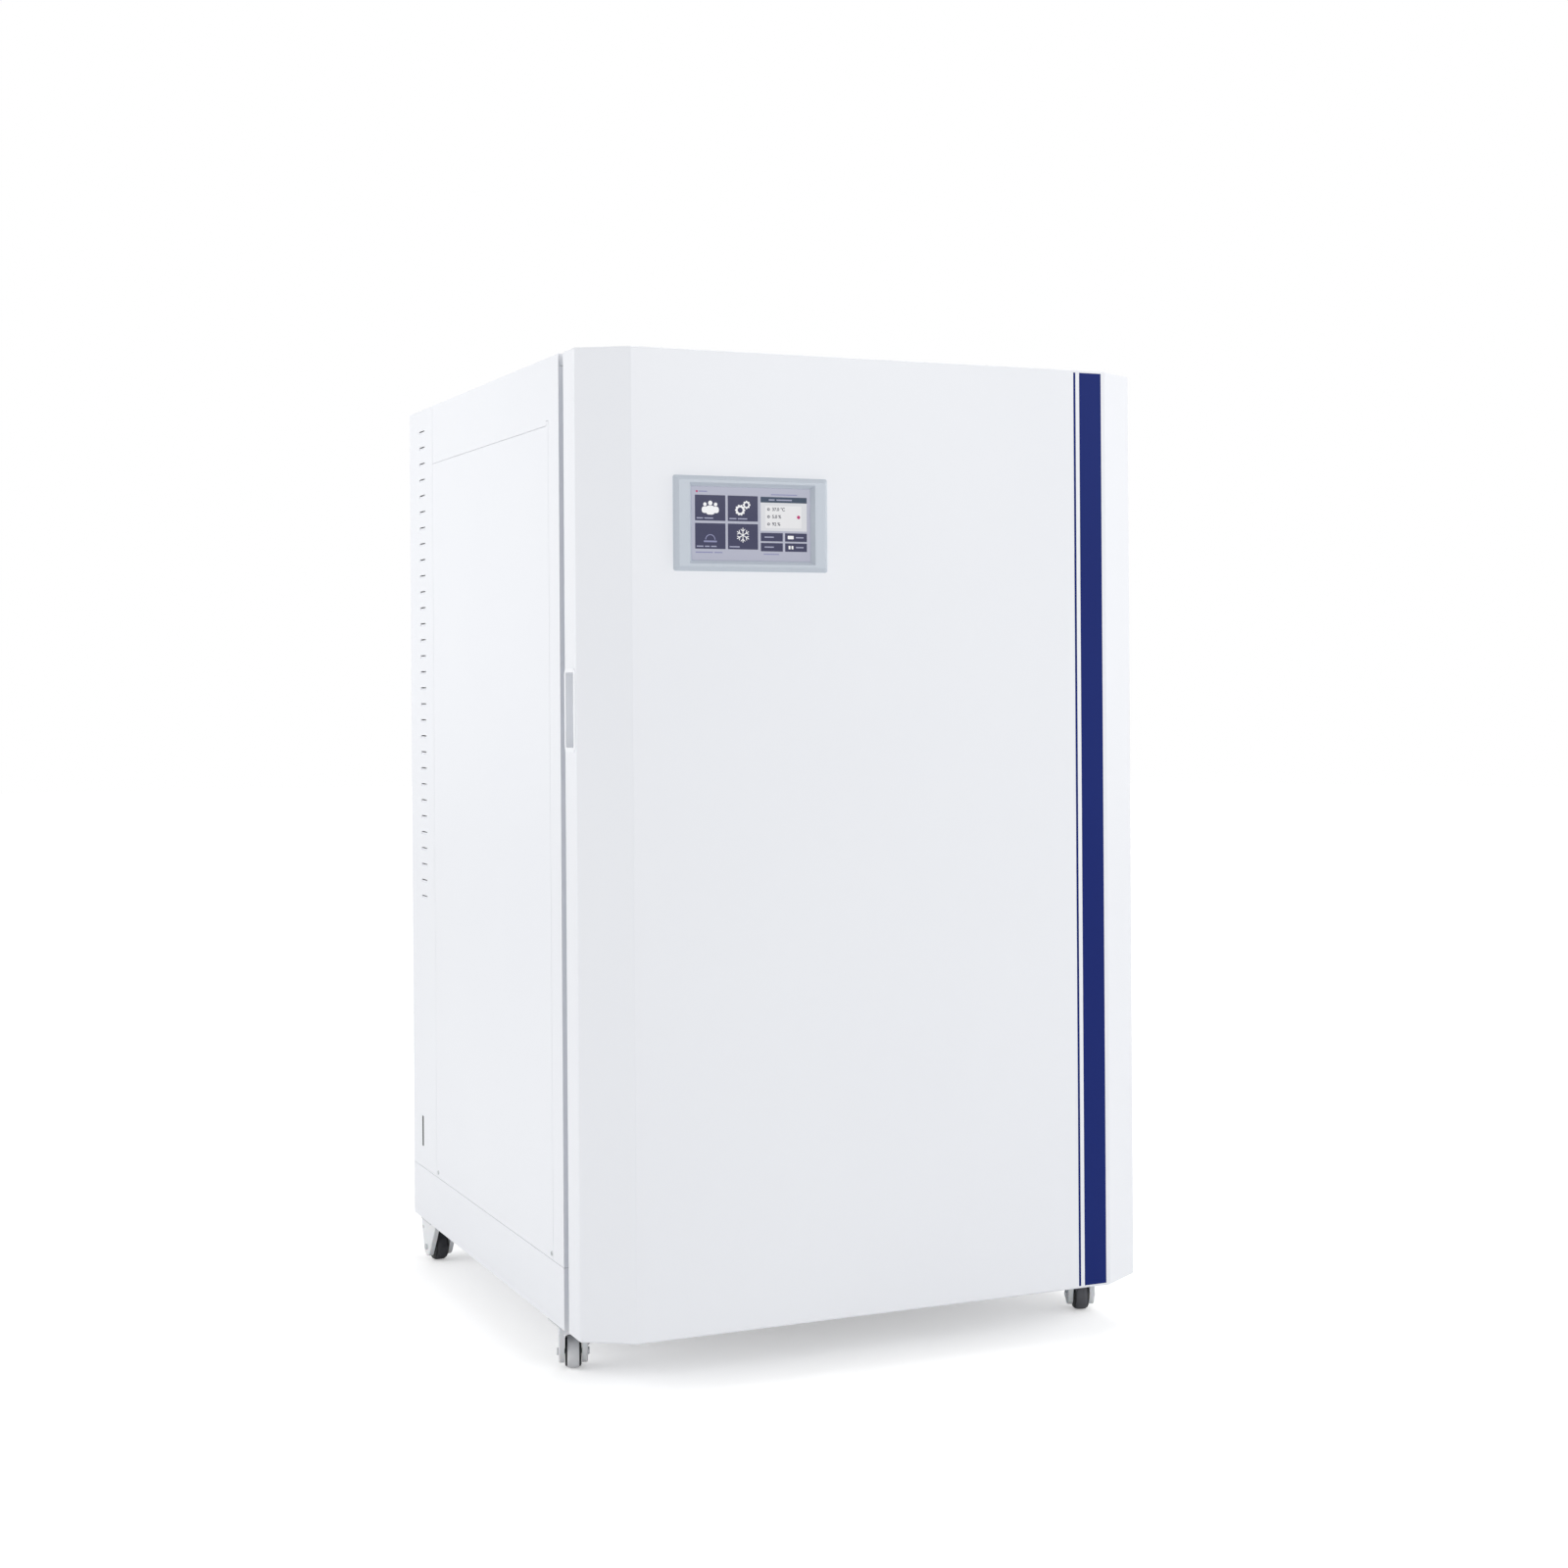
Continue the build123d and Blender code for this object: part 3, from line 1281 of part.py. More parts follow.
with BuildPart() as caster_fork:
    with BuildSketch(Plane.YZ.offset(-fork_half)):
        with Locations((caster_trail, wheel_radius)):
            Circle(cheek_radius)
        with Locations(((cheek_back - cheek_front) / 2, crown_top_z - crown_height / 2)):
            Rectangle(cheek_back + cheek_front, crown_height)
        make_hull()
    extrude(amount=fork_width)
    fillet(caster_fork.faces().sort_by(Axis.X)[0].edges(), cheek_edge)
    fillet(caster_fork.faces().sort_by(Axis.X)[-1].edges(), cheek_edge)
    rod(crown_radius, (0, 0, crown_bottom_z), (0, 0, crown_top_z))
    slab((-slot_half, slot_half), (-body_depth, body_depth), (0, crown_bottom_z), Mode.SUBTRACT)
    rod(axle_radius, (-fork_half, caster_trail, wheel_radius), (fork_half, caster_trail, wheel_radius))
    rod(kingpin_radius + running_fit, (0, 0, 0), (0, 0, bottom_z), Mode.SUBTRACT)
    rod(
        brake_pin_radius + running_fit,
        (-fork_width, brake_pivot[0], brake_pivot[1]),
        (fork_width, brake_pivot[0], brake_pivot[1]),
        Mode.SUBTRACT,
    )

# The wheel has a narrow flat tread between sloping shoulders and a dished web round the hub.
with BuildPart() as caster_wheel:
    wheel_axis = Axis((0, caster_trail, wheel_radius), (1, 0, 0))
    half = wheel_width / 2
    with BuildSketch(Plane(origin=wheel_axis.position, x_dir=(1, 0, 0), z_dir=(0, -1, 0))):
        with BuildLine():
            Polyline(
                (0, axle_radius + running_fit),
                (half, axle_radius + running_fit),
                (half, wheel_radius * wheel_hub[0]),
                (half * wheel_web, wheel_radius * wheel_hub[1]),
                (half * wheel_web, wheel_radius * wheel_tyre[0]),
                (half, wheel_radius * wheel_tyre[1]),
                (half, wheel_radius * wheel_tyre[2]),
                (half * wheel_tread, wheel_radius),
                (0, wheel_radius),
                close=True,
            )
        make_face()
        mirror(about=Plane.YZ)
    revolve(axis=wheel_axis)

# The brake is a shoe over the tread, its pin through both cheeks, and a wedge-shaped pedal outside the right one.
pedal_start = fork_half + touch_fit
with BuildPart() as caster_brake:
    with BuildSketch(Plane.YZ.offset(-slot_half + wheel_side_gap)):
        with Locations(brake_pivot):
            Circle(shoe_root_radius)
        with Locations(shoe_tip):
            Circle(shoe_tip_radius)
        make_hull()
    extrude(amount=wheel_width)
    rod(
        brake_pin_radius,
        (-fork_half + cheek_edge, brake_pivot[0], brake_pivot[1]),
        (pedal_start, brake_pivot[0], brake_pivot[1]),
    )
    with BuildSketch(Plane.YZ.offset(pedal_start)):
        with BuildLine():
            Polyline(*pedal_root, close=True)
        make_face()
    with BuildSketch(Plane.YZ.offset(pedal_start + pedal_reach)):
        with BuildLine():
            Polyline(*pedal_edge, close=True)
        make_face()
    loft()

kingpin_x = half_width - kingpin_side_inset
kingpin_front_y = front_y + kingpin_front
kingpin_rear_y = rear_y - kingpin_rear_margin
kingpins = {
    "front_left": (-kingpin_x, kingpin_front_y),
    "front_right": (kingpin_x, kingpin_front_y),
    "rear_left": (-kingpin_x, kingpin_rear_y),
    "rear_right": (kingpin_x, kingpin_rear_y),
}
for corner, (pin_x, pin_y) in kingpins.items():
    spot = Location((pin_x, pin_y, 0), (0, 0, -headings[corner]))
    for name, drawn in (("fork", caster_fork), ("wheel", caster_wheel), ("brake", caster_brake)):
        with BuildPart() as placed:
            add(drawn.part.moved(spot))
        placed.part.label = f"caster_{name}_{corner}"
        export_step(placed.part, f"parts/caster_{name}_{corner}.step")

# Caster plates: one under each corner of the base, with the ball race and the kingpin that holds the fork.
with BuildPart() as caster_plates:
    for pin_x, pin_y in kingpins.values():
        slab(
            (pin_x - plate_side / 2, pin_x + plate_side / 2),
            (pin_y - plate_side / 2, pin_y + plate_side / 2),
            (plate_bottom_z, bottom_z),
        )
        rod(race_radius, (pin_x, pin_y, race_bottom_z), (pin_x, pin_y, plate_bottom_z))
        head_top_z = crown_bottom_z - touch_fit
        rod(kingpin_radius, (pin_x, pin_y, head_top_z), (pin_x, pin_y, race_bottom_z))
        rod(kingpin_head_radius, (pin_x, pin_y, head_top_z - kingpin_head), (pin_x, pin_y, head_top_z))
caster_plates.part.label = "caster_plates"
export_step(caster_plates.part, "parts/caster_plates.step")
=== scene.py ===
import math

import bmesh
import bpy
from mathutils import Matrix, Vector


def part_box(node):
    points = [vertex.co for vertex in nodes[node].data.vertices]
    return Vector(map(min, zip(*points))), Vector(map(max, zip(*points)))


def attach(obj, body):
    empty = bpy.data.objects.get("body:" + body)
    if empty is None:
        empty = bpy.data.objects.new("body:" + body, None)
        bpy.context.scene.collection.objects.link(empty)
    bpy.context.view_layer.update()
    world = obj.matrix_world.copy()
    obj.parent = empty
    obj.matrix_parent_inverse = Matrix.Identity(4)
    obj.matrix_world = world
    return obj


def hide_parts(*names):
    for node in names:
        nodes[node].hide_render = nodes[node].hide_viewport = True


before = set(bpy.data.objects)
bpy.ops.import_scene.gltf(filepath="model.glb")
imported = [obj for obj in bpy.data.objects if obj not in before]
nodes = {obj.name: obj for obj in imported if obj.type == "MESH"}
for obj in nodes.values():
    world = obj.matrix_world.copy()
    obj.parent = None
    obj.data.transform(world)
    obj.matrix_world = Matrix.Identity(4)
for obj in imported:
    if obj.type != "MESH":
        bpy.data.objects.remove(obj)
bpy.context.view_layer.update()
scene = bpy.context.scene
mm = 0.001

# Camera: it stands a little over three metres from the cabinet's middle, towards the front left. It is level,
# at two thirds of the cabinet's height, and the picture is shifted down instead of the camera tilted.
camera_data = bpy.data.cameras.new("camera")
camera_data.lens = 53.67
camera_data.sensor_width = 36.0
camera_data.shift_y = -0.0655
camera = bpy.data.objects.new("camera", camera_data)
scene.collection.objects.link(camera)
camera.location = (-1.2479, -2.9462, 0.8312)
camera.rotation_euler = (math.radians(90), math.radians(0.37), math.radians(-23.68))
scene.camera = camera
scene.view_settings.view_transform = "Standard"


# Studio: a pale floor that stays white where nothing shades it, and a white surround that metal and glass
# also mirror. The world gives most of the light, and large soft lamps shape the chamfers of the door.
def srgb(code):
    """A hex colour as linear red, green and blue, with an alpha of 1."""
    parts = [int(code[i : i + 2], 16) / 255 for i in (1, 3, 5)]
    return tuple(c / 12.92 if c <= 0.04045 else ((c + 0.055) / 1.055) ** 2.4 for c in parts) + (1.0,)


def add(tree, kind, values=None, links=None, **settings):
    """A new node with its settings, the values of its inputs and the sockets that feed them."""
    made = tree.nodes.new("ShaderNode" + kind)
    for key, value in settings.items():
        setattr(made, key, value)
    for key, value in (values or {}).items():
        made.inputs[key].default_value = value
    for key, socket in (links or {}).items():
        tree.links.new(socket, made.inputs[key])
    return made


world = bpy.data.worlds.new("studio")
scene.world = world
world.use_nodes = True
sky = world.node_tree
sky.nodes.clear()
ray = add(sky, "LightPath")
seen = add(
    sky, "Math", links={0: ray.outputs["Is Camera Ray"], 1: ray.outputs["Is Glossy Ray"]}, operation="MAXIMUM"
)
shown = add(
    sky, "Math", links={0: seen.outputs[0], 1: ray.outputs["Is Transmission Ray"]}, operation="MAXIMUM"
)
ambient = add(sky, "Background", {"Color": srgb("#FFFFFF"), "Strength": 0.52})
surround = add(sky, "Background", {"Color": srgb("#FFFFFF"), "Strength": 1.0})
both = add(sky, "MixShader", links={0: shown.outputs[0], 1: ambient.outputs[0], 2: surround.outputs[0]})
add(sky, "OutputWorld", links={"Surface": both.outputs[0]})

# the paper glows more for the camera the further it lies from the cabinet, where the lamps don't reach
paper = bpy.data.materials.new("seamless_paper_floor")
paper.use_nodes = True
tree = paper.node_tree
tree.nodes.clear()
ray = add(tree, "LightPath")
place = add(tree, "TexCoord")
reach = add(tree, "VectorMath", links={0: place.outputs["Object"]}, operation="LENGTH")
fade = add(
    tree, "MapRange", {"From Min": 0.8, "From Max": 3.0, "To Min": 0.36, "To Max": 0.60},
    {"Value": reach.outputs["Value"]},
)
lift = add(tree, "Math", links={0: fade.outputs[0], 1: ray.outputs["Is Camera Ray"]}, operation="MULTIPLY")
matt = add(tree, "BsdfDiffuse", {"Color": srgb("#FAFAFA")})
glow = add(tree, "Emission", {"Color": srgb("#FFFFFF")}, {"Strength": lift.outputs[0]})
both = add(tree, "AddShader", links={0: matt.outputs[0], 1: glow.outputs[0]})
add(tree, "OutputMaterial", links={"Surface": both.outputs[0]})
floor_radius = 14.0
floor_place = Matrix.Translation((0, 2.0, -0.0004))
bm = bmesh.new()
bmesh.ops.create_circle(bm, cap_ends=True, segments=96, radius=floor_radius, matrix=floor_place)
floor_mesh = bpy.data.meshes.new("floor")
bm.to_mesh(floor_mesh)
bm.free()
floor = bpy.data.objects.new("floor", floor_mesh)
scene.collection.objects.link(floor)
floor_mesh.materials.append(paper)

for name, spot, aim, width, height, power in (
    ("left_softbox", (-3.6, 0.6, 1.7), (-0.3, 0.1, 0.6), 2.6, 2.6, 52.0),
    ("front_softbox", (1.0, -4.4, 2.4), (0.0, -0.3, 0.6), 2.8, 2.2, 54.0),
    ("right_softbox", (3.6, -1.4, 1.6), (0.3, -0.1, 0.6), 2.2, 2.2, 22.0),
    ("overhead_softbox", (1.0, 0.4, 4.2), (0.0, 0.0, 0.8), 2.2, 2.2, 36.0),
):
    lamp_data = bpy.data.lights.new(name, "AREA")
    lamp_data.shape = "RECTANGLE"
    lamp_data.size = width
    lamp_data.size_y = height
    lamp_data.energy = power
    lamp = bpy.data.objects.new(name, lamp_data)
    scene.collection.objects.link(lamp)
    lamp.location = spot
    lamp.rotation_euler = (Vector(aim) - Vector(spot)).to_track_quat("-Z", "Y").to_euler()


# Cabinet panels and door skin: folded sheet steel with a baked powder coat. The coat is a cool off-white and
# shows a fine orange peel and a soft sheen, a little duller where it is thin.
def finish(name, **sockets):
    """A new material on one principled shader, as its node tree, its shader and the material itself."""
    material = bpy.data.materials.new(name)
    material.use_nodes = True
    tree = material.node_tree
    tree.nodes.clear()
    shader = add(tree, "BsdfPrincipled", {key.replace("_", " "): value for key, value in sockets.items()})
    add(tree, "OutputMaterial", links={"Surface": shader.outputs[0]})
    return tree, shader, material


def feed(tree, socket, shader, name):
    """Joins a socket to an input of the shader."""
    tree.links.new(socket, shader.inputs[name])


def dress(material, *names):
    """Puts one material on CAD nodes."""
    for name in names:
        mesh = nodes[name].data
        mesh.materials.clear()
        mesh.materials.append(material)


def powder_coat(name, colour, shade):
    tree, shader, material = finish(name, Specular_IOR_Level=0.45)
    place = add(tree, "TexCoord")
    film = add(tree, "TexNoise", {"Scale": 2.2, "Detail": 2.0}, {"Vector": place.outputs["Object"]})
    tone = add(tree, "Mix", {6: srgb(colour), 7: srgb(shade)}, {0: film.outputs[0]}, data_type="RGBA")
    feed(tree, tone.outputs[2], shader, "Base Color")
    # orange peel with waves of 2.5 mm
    peel = add(tree, "TexNoise", {"Scale": 400.0, "Detail": 1.0}, {"Vector": place.outputs["Object"]})
    dull = add(tree, "MapRange", {"To Min": 0.33, "To Max": 0.43}, {"Value": film.outputs[0]})
    feed(tree, dull.outputs[0], shader, "Roughness")
    bump = add(tree, "Bump", {"Strength": 0.25, "Distance": 0.00006}, {"Height": peel.outputs[0]})
    feed(tree, bump.outputs[0], shader, "Normal")
    return material


body_coat = powder_coat("white_powder_coated_steel", "#F0F2F6", "#ECEEF3")
dress(
    body_coat,
    "base_pan", "left_side_frame", "right_side_frame", "left_service_cover", "right_service_cover",
    "left_corner_panel", "right_corner_panel", "top_cover", "rear_panel", "front_frame", "door_skin",
    "door_pan",
)

# Stripes: two bands of cut vinyl film on the front of the door, a thin and a wide one, in a deep blue with a
# satin face. They run over the whole height of the flat part.
tree, vinyl_shader, vinyl = finish("navy_vinyl_film", Roughness=0.42, Specular_IOR_Level=0.14)
place = add(tree, "TexCoord")
film = add(tree, "TexNoise", {"Scale": 3.0, "Detail": 1.0}, {"Vector": place.outputs["Object"]})
tone = add(
    tree, "Mix", {6: srgb("#0F2067"), 7: srgb("#152970")}, {0: film.outputs[0]}, data_type="RGBA"
)
feed(tree, tone.outputs[2], vinyl_shader, "Base Color")
skin_low, skin_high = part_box("door_skin")


def stand(name, bm, body, *materials):
    """A finished mesh as a piece that rides on a body."""
    mesh = bpy.data.meshes.new(name)
    bm.to_mesh(mesh)
    bm.free()
    piece = bpy.data.objects.new(name, mesh)
    scene.collection.objects.link(piece)
    for material in materials:
        mesh.materials.append(material)
    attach(piece, body)
    return piece


def plate(bm, centre, width, height, depth, corner=0.0, turn=0.0, slot=0, segments=3):
    """A flat plate that faces the front, its back at the depth of its centre, with rounded corners."""
    place = (
        Matrix.Translation(centre)
        @ Matrix.Rotation(math.pi / 2, 4, "X")
        @ Matrix.Rotation(turn, 4, "Z")
        @ Matrix.Diagonal((width, height, 1, 1))
    )
    made = bmesh.ops.create_grid(bm, x_segments=1, y_segments=1, size=0.5, matrix=place)
    if corner:
        made = bmesh.ops.bevel(
            bm, geom=made["verts"], offset=corner, segments=segments, profile=0.5, affect="VERTICES",
            material=-1,
        )
    raise_faces(bm, list({face for vert in made["verts"] for face in vert.link_faces}), depth, slot)


def raise_faces(bm, faces, depth, slot=0):
    """Gives flat faces that look to the front a thickness towards the front."""
    made = bmesh.ops.extrude_face_region(bm, geom=faces)
    new_verts = [g for g in made["geom"] if isinstance(g, bmesh.types.BMVert)]
    bmesh.ops.translate(bm, vec=(0, -depth, 0), verts=new_verts)
    around = {face for vert in new_verts for face in vert.link_faces} | set(f for f in faces if f.is_valid)
    for face in around:
        face.material_index = slot
    bmesh.ops.recalc_face_normals(bm, faces=list(around))


stripe_height = skin_high.z - skin_low.z - 7 * mm
stripe_thickness = 0.12 * mm
bm = bmesh.new()
for left, right in ((273.5, 276.5), (282.0, 313.5)):
    centre = ((left + right) / 2 * mm, skin_low.y, (skin_low.z + skin_high.z) / 2)
    plate(bm, centre, (right - left) * mm, stripe_height, stripe_thickness)
stand("door_stripes", bm, "outer_door", vinyl)


# Louvres: each slot of the corner panels keeps a thin flap of its own sheet, pressed inwards along the lower
# edge, so only a narrow gap stays open. A black nylon block just inside the upright slot near the foot is
# painted shade, standing in for the dark of the open slot.
def slab(bm, centre, size, lean, edge):
    """A block with softened edges, leaning about an axis along Y."""
    place = Matrix.Translation(centre) @ Matrix.Rotation(lean, 4, "Y") @ Matrix.Diagonal((*size, 1))
    made = bmesh.ops.create_cube(bm, size=1.0, matrix=place)
    rim = list({line for vert in made["verts"] for line in vert.link_edges})
    bmesh.ops.bevel(bm, geom=rim, offset=edge, segments=2, profile=0.5, affect="EDGES", material=-1)


louvre_count = 30
louvre_pitch = 22.9 * mm
first_louvre_drop = 31.6 * mm
louvre_from_back = 68.0 * mm
flap_size = (0.9 * mm, 27.6 * mm, 2.5 * mm)
flap_sink = 0.9 * mm
flap_drop = 0.75 * mm
flap_lean = math.radians(16)
slot_shade_block_size = (2.0 * mm, 6.4 * mm, 43.0 * mm)
slot_shade_block_sink = 0.6 * mm
slot_shade_block_from_back = 50.75 * mm
slot_shade_block_z = 188.5 * mm
flap_bm = bmesh.new()
slot_shade_block_bm = bmesh.new()
for name, side in (("left_corner_panel", -1), ("right_corner_panel", 1)):
    low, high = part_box(name)
    outer_x = low.x if side < 0 else high.x
    for step in range(louvre_count):
        flap_z = high.z - first_louvre_drop - louvre_pitch * step - flap_drop
        centre = (outer_x - side * flap_sink, high.y - louvre_from_back, flap_z)
        slab(flap_bm, centre, flap_size, side * flap_lean, 0.15 * mm)
    centre = (outer_x - side * slot_shade_block_sink, high.y - slot_shade_block_from_back, slot_shade_block_z)
    slab(slot_shade_block_bm, centre, slot_shade_block_size, 0.0, 0.5 * mm)
flaps = stand("louvre_flaps", flap_bm, "cabinet", body_coat)


# Bezel and grip: ABS mouldings in a cool blue grey and in white, with a fine spark-eroded grain that takes
# the gloss off. The bezel is polished a little more, so that its slopes catch the light.
def moulding(name, colour, shade, roughness, grain=0.6, depth=0.00004, **sockets):
    tree, shader, material = finish(name, **sockets)
    place = add(tree, "TexCoord")
    cloud = add(tree, "TexNoise", {"Scale": 14.0, "Detail": 2.0}, {"Vector": place.outputs["Object"]})
    tone = add(tree, "Mix", {6: srgb(colour), 7: srgb(shade)}, {0: cloud.outputs[0]}, data_type="RGBA")
    feed(tree, tone.outputs[2], shader, "Base Color")
    spark = add(tree, "TexNoise", {"Scale": 1000 / grain, "Detail": 2.0}, {"Vector": place.outputs["Object"]})
    dull = add(
        tree, "MapRange", {"To Min": roughness - 0.06, "To Max": roughness + 0.06}, {"Value": spark.outputs[0]}
    )
    feed(tree, dull.outputs[0], shader, "Roughness")
    bump = add(tree, "Bump", {"Strength": 0.35, "Distance": depth}, {"Height": spark.outputs[0]})
    feed(tree, bump.outputs[0], shader, "Normal")
    return material


bezel_plastic = moulding("blue_grey_moulded_abs", "#C4CCD6", "#C0C8D2", 0.3)
dress(bezel_plastic, "display_bezel")
# the grip's white is painted lighter than the door's coat, as painted light against the shade in its recess
grip_plastic_lightened_against_shade = moulding("pale_moulded_abs", "#F6F8FB", "#F0F2F7", 0.45)
dress(grip_plastic_lightened_against_shade, "door_grip")

# Touch panel: a bonded glass with a lit liquid-crystal picture behind it. The picture is built from flat lit
# layers: four menu tiles with plain symbols, a panel with three values and four small buttons.
screen_low, screen_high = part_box("display_screen")
window_centre = (screen_low + screen_high) / 2
window = (153.0, 87.0)


def lit(name, colour, glow=0.5):
    """A colour of the picture, partly lit from behind and seen through the glass."""
    light = srgb(colour)
    base = tuple(c * (1 - glow) for c in light[:3]) + (1.0,)
    return finish(
        name, Base_Color=base, Roughness=0.5, Emission_Color=light, Emission_Strength=glow,
        Specular_IOR_Level=0.2, Coat_Weight=0.15, Coat_Roughness=0.08,
    )[2]


tree, glass_shader, panel_glass = finish(
    "bonded_touch_glass", Base_Color=srgb("#8A8FA8"), Coat_Weight=0.5, Coat_Roughness=0.03
)
place = add(tree, "TexCoord")
smear = add(tree, "TexNoise", {"Scale": 35.0, "Detail": 3.0}, {"Vector": place.outputs["Object"]})
dull = add(tree, "MapRange", {"To Min": 0.08, "To Max": 0.22}, {"Value": smear.outputs[0]})
feed(tree, dull.outputs[0], glass_shader, "Roughness")
dress(panel_glass, "display_screen")

ground = lit("lit_lavender_grey", "#B4B6C6")
navy = lit("lit_slate_navy", "#3D3E5A")
slate = lit("lit_header_blue", "#38475C")
paper_grey = lit("lit_pale_grey", "#DADBDF")
symbol = lit("lit_white", "#F4F4F6")
faint = lit("lit_faint_lilac", "#8D8FB2")
magenta = lit("lit_magenta", "#B8346E")
ink = lit("lit_ink", "#3A3E4C")
layer = 0.05 * mm


def on_screen(x, z, level):
    """A point of the picture, in millimetres from the window's top left corner, at one of its layers."""
    return (
        window_centre.x + (x - window[0] / 2) * mm,
        screen_low.y - level * layer,
        window_centre.z + (window[1] / 2 - z) * mm,
    )


def picture_plate(bm, x, z, width, height, level, slot, corner):
    """A rectangle of the picture, by its top left corner and size in millimetres."""
    centre = on_screen(x + width / 2, z + height / 2, level)
    plate(bm, centre, width * mm, height * mm, layer, corner * mm, 0.0, slot, segments=2)


def disc(bm, x, z, radius, level, slot=0, steps=24):
    """A round spot of the picture."""
    place = Matrix.Translation(on_screen(x, z, level)) @ Matrix.Rotation(math.pi / 2, 4, "X")
    made = bmesh.ops.create_circle(bm, cap_ends=True, segments=steps, radius=radius * mm, matrix=place)
    raise_faces(bm, list({face for vert in made["verts"] for face in vert.link_faces}), layer, slot)


def ring(bm, x, z, radius, width, level, slot=0, steps=32, sweep=360.0, start=0.0):
    """A ring of the picture, or part of one, spun from a short bar."""
    centre = Vector(on_screen(x, z, level))
    bar = (
        Matrix.Translation(centre)
        @ Matrix.Rotation(math.radians(start), 4, "Y")
        @ Matrix.Translation(((radius - width / 2) * mm, -layer / 2, 0))
        @ Matrix.Diagonal((width * mm, layer, 1, 1))
        @ Matrix.Rotation(math.pi, 4, "X")
    )
    made = bmesh.ops.create_grid(bm, x_segments=1, y_segments=1, size=0.5, matrix=bar)
    faces = list({face for vert in made["verts"] for face in vert.link_faces})
    whole = abs(sweep) >= 360.0
    before = set(bm.faces)
    bmesh.ops.spin(
        bm, geom=faces + [e for f in faces for e in f.edges] + made["verts"], cent=centre, axis=(0, 1, 0),
        angle=math.radians(sweep), steps=steps, use_merge=whole,
    )
    new_faces = [f for f in bm.faces if f not in before or f in faces]
    if whole:
        inner = [f for f in new_faces if f in faces]
        bmesh.ops.delete(bm, geom=inner, context="FACES_ONLY")
        new_faces = [f for f in new_faces if f.is_valid]
    for face in new_faces:
        face.material_index = slot
    bmesh.ops.recalc_face_normals(bm, faces=new_faces)


bm = bmesh.new()
picture_plate(bm, 0.3, 0.3, window[0] - 0.6, window[1] - 0.6, 0, 0, 0.0)
disc(bm, 7.0, 5.9, 1.3, 1, 6)
picture_plate(bm, 9.6, 5.1, 10.5, 1.4, 1, 5, 0.2)
picture_plate(bm, 102.0, 7.0, 34.0, 1.3, 1, 5, 0.2)
tile_left, tile_top, tile_width, tile_height, tile_gap = 4.6, 10.0, 38.6, 30.2, 3.0
for column in range(2):
    for row in range(2):
        left = tile_left + column * (tile_width + tile_gap)
        top = tile_top + row * (tile_height + tile_gap)
        picture_plate(bm, left, top, tile_width, tile_height, 1, 1, 0.4)
picture_plate(bm, 88.4, 10.4, 60.0, 6.8, 1, 2, 0.3)
picture_plate(bm, 88.4, 17.2, 60.0, 33.6, 1, 3, 0.3)
for left in (88.4, 119.9):
    for top in (53.2, 65.2):
        picture_plate(bm, left, top, 28.5, 10.0, 1, 1, 0.3)
picture_plate(bm, 5.0, 76.8, 22.0, 1.4, 1, 5, 0.2)
picture_plate(bm, 29.0, 76.8, 10.0, 1.4, 1, 5, 0.2)
picture_plate(bm, 92.0, 78.0, 20.0, 1.2, 1, 5, 0.2)
picture_ground = stand(
    "display_picture", bm, "outer_door", ground, navy, slate, paper_grey, symbol, faint, magenta
)

bm = bmesh.new()
# three people
for x, z, head, wide, high in (
    (17.2, 21.0, 2.2, 8.0, 7.6), (30.8, 21.0, 2.2, 8.0, 7.6), (24.0, 19.4, 2.7, 10.5, 10.6),
):
    level = 3 if wide > 9 else 2
    disc(bm, x, z, head, level)
    picture_plate(bm, x - wide / 2, z + head + 0.4, wide, high, level, 0, 2.6)
# two cog wheels
for x, z, radius, teeth, level in ((62.0, 27.0, 5.6, 10, 2), (70.2, 20.6, 4.0, 8, 3)):
    ring(bm, x, z, radius, radius * 0.42, level)
    for step in range(teeth):
        turn = 2 * math.pi * step / teeth
        centre = on_screen(x + radius * math.cos(turn), z - radius * math.sin(turn), level)
        plate(bm, centre, 1.7 * mm, 1.9 * mm, layer, 0.2 * mm, turn, 0, segments=2)
# a domed cover on its base line
ring(bm, 23.8, 62.6, 6.4, 1.0, 2, 1, 24, -180.0)
picture_plate(bm, 15.4, 63.6, 16.8, 2.0, 2, 2, 0.6)
# a six-armed crystal with side branches
crystal_middle = Vector((65.4, 56.6))
for arm in range(6):
    turn = math.pi / 2 + arm * math.pi / 3
    along = Vector((math.cos(turn), -math.sin(turn)))
    centre = crystal_middle + along * 4.4
    plate(bm, on_screen(centre.x, centre.y, 2), 8.8 * mm, 0.95 * mm, layer, 0.2 * mm, turn, 0, segments=2)
    for side in (-1, 1):
        lean = turn + side * math.radians(48)
        start = crystal_middle + along * 4.6
        middle = start + Vector((math.cos(lean), -math.sin(lean))) * 1.9
        plate(bm, on_screen(middle.x, middle.y, 3), 3.8 * mm, 0.85 * mm, layer, 0.2 * mm, lean, 0, segments=2)
# captions stand as short bars, because they carry no words
for column, row, bars in (
    (0, 0, (8.0, 11.0)), (1, 0, (9.0, 12.0)), (0, 1, (8.5, 6.0, 7.0)), (1, 1, (13.0,)),
):
    left = tile_left + column * (tile_width + tile_gap) + 2.0
    top = tile_top + row * (tile_height + tile_gap) + tile_height - 3.6
    for bar in bars:
        picture_plate(bm, left, top, bar, 1.3, 2, 3, 0.2)
        left += bar + 1.8
picture_plate(bm, 99.0, 13.2, 7.6, 1.4, 2, 3, 0.2)
picture_plate(bm, 109.0, 13.2, 20.0, 1.4, 2, 3, 0.2)
for left, top in ((93.2, 57.6), (93.2, 69.4)):
    picture_plate(bm, left, top, 12.0, 1.3, 2, 3, 0.2)
picture_plate(bm, 123.4, 56.2, 7.6, 4.0, 2, 0, 0.4)
picture_plate(bm, 134.0, 57.6, 10.0, 1.3, 2, 3, 0.2)
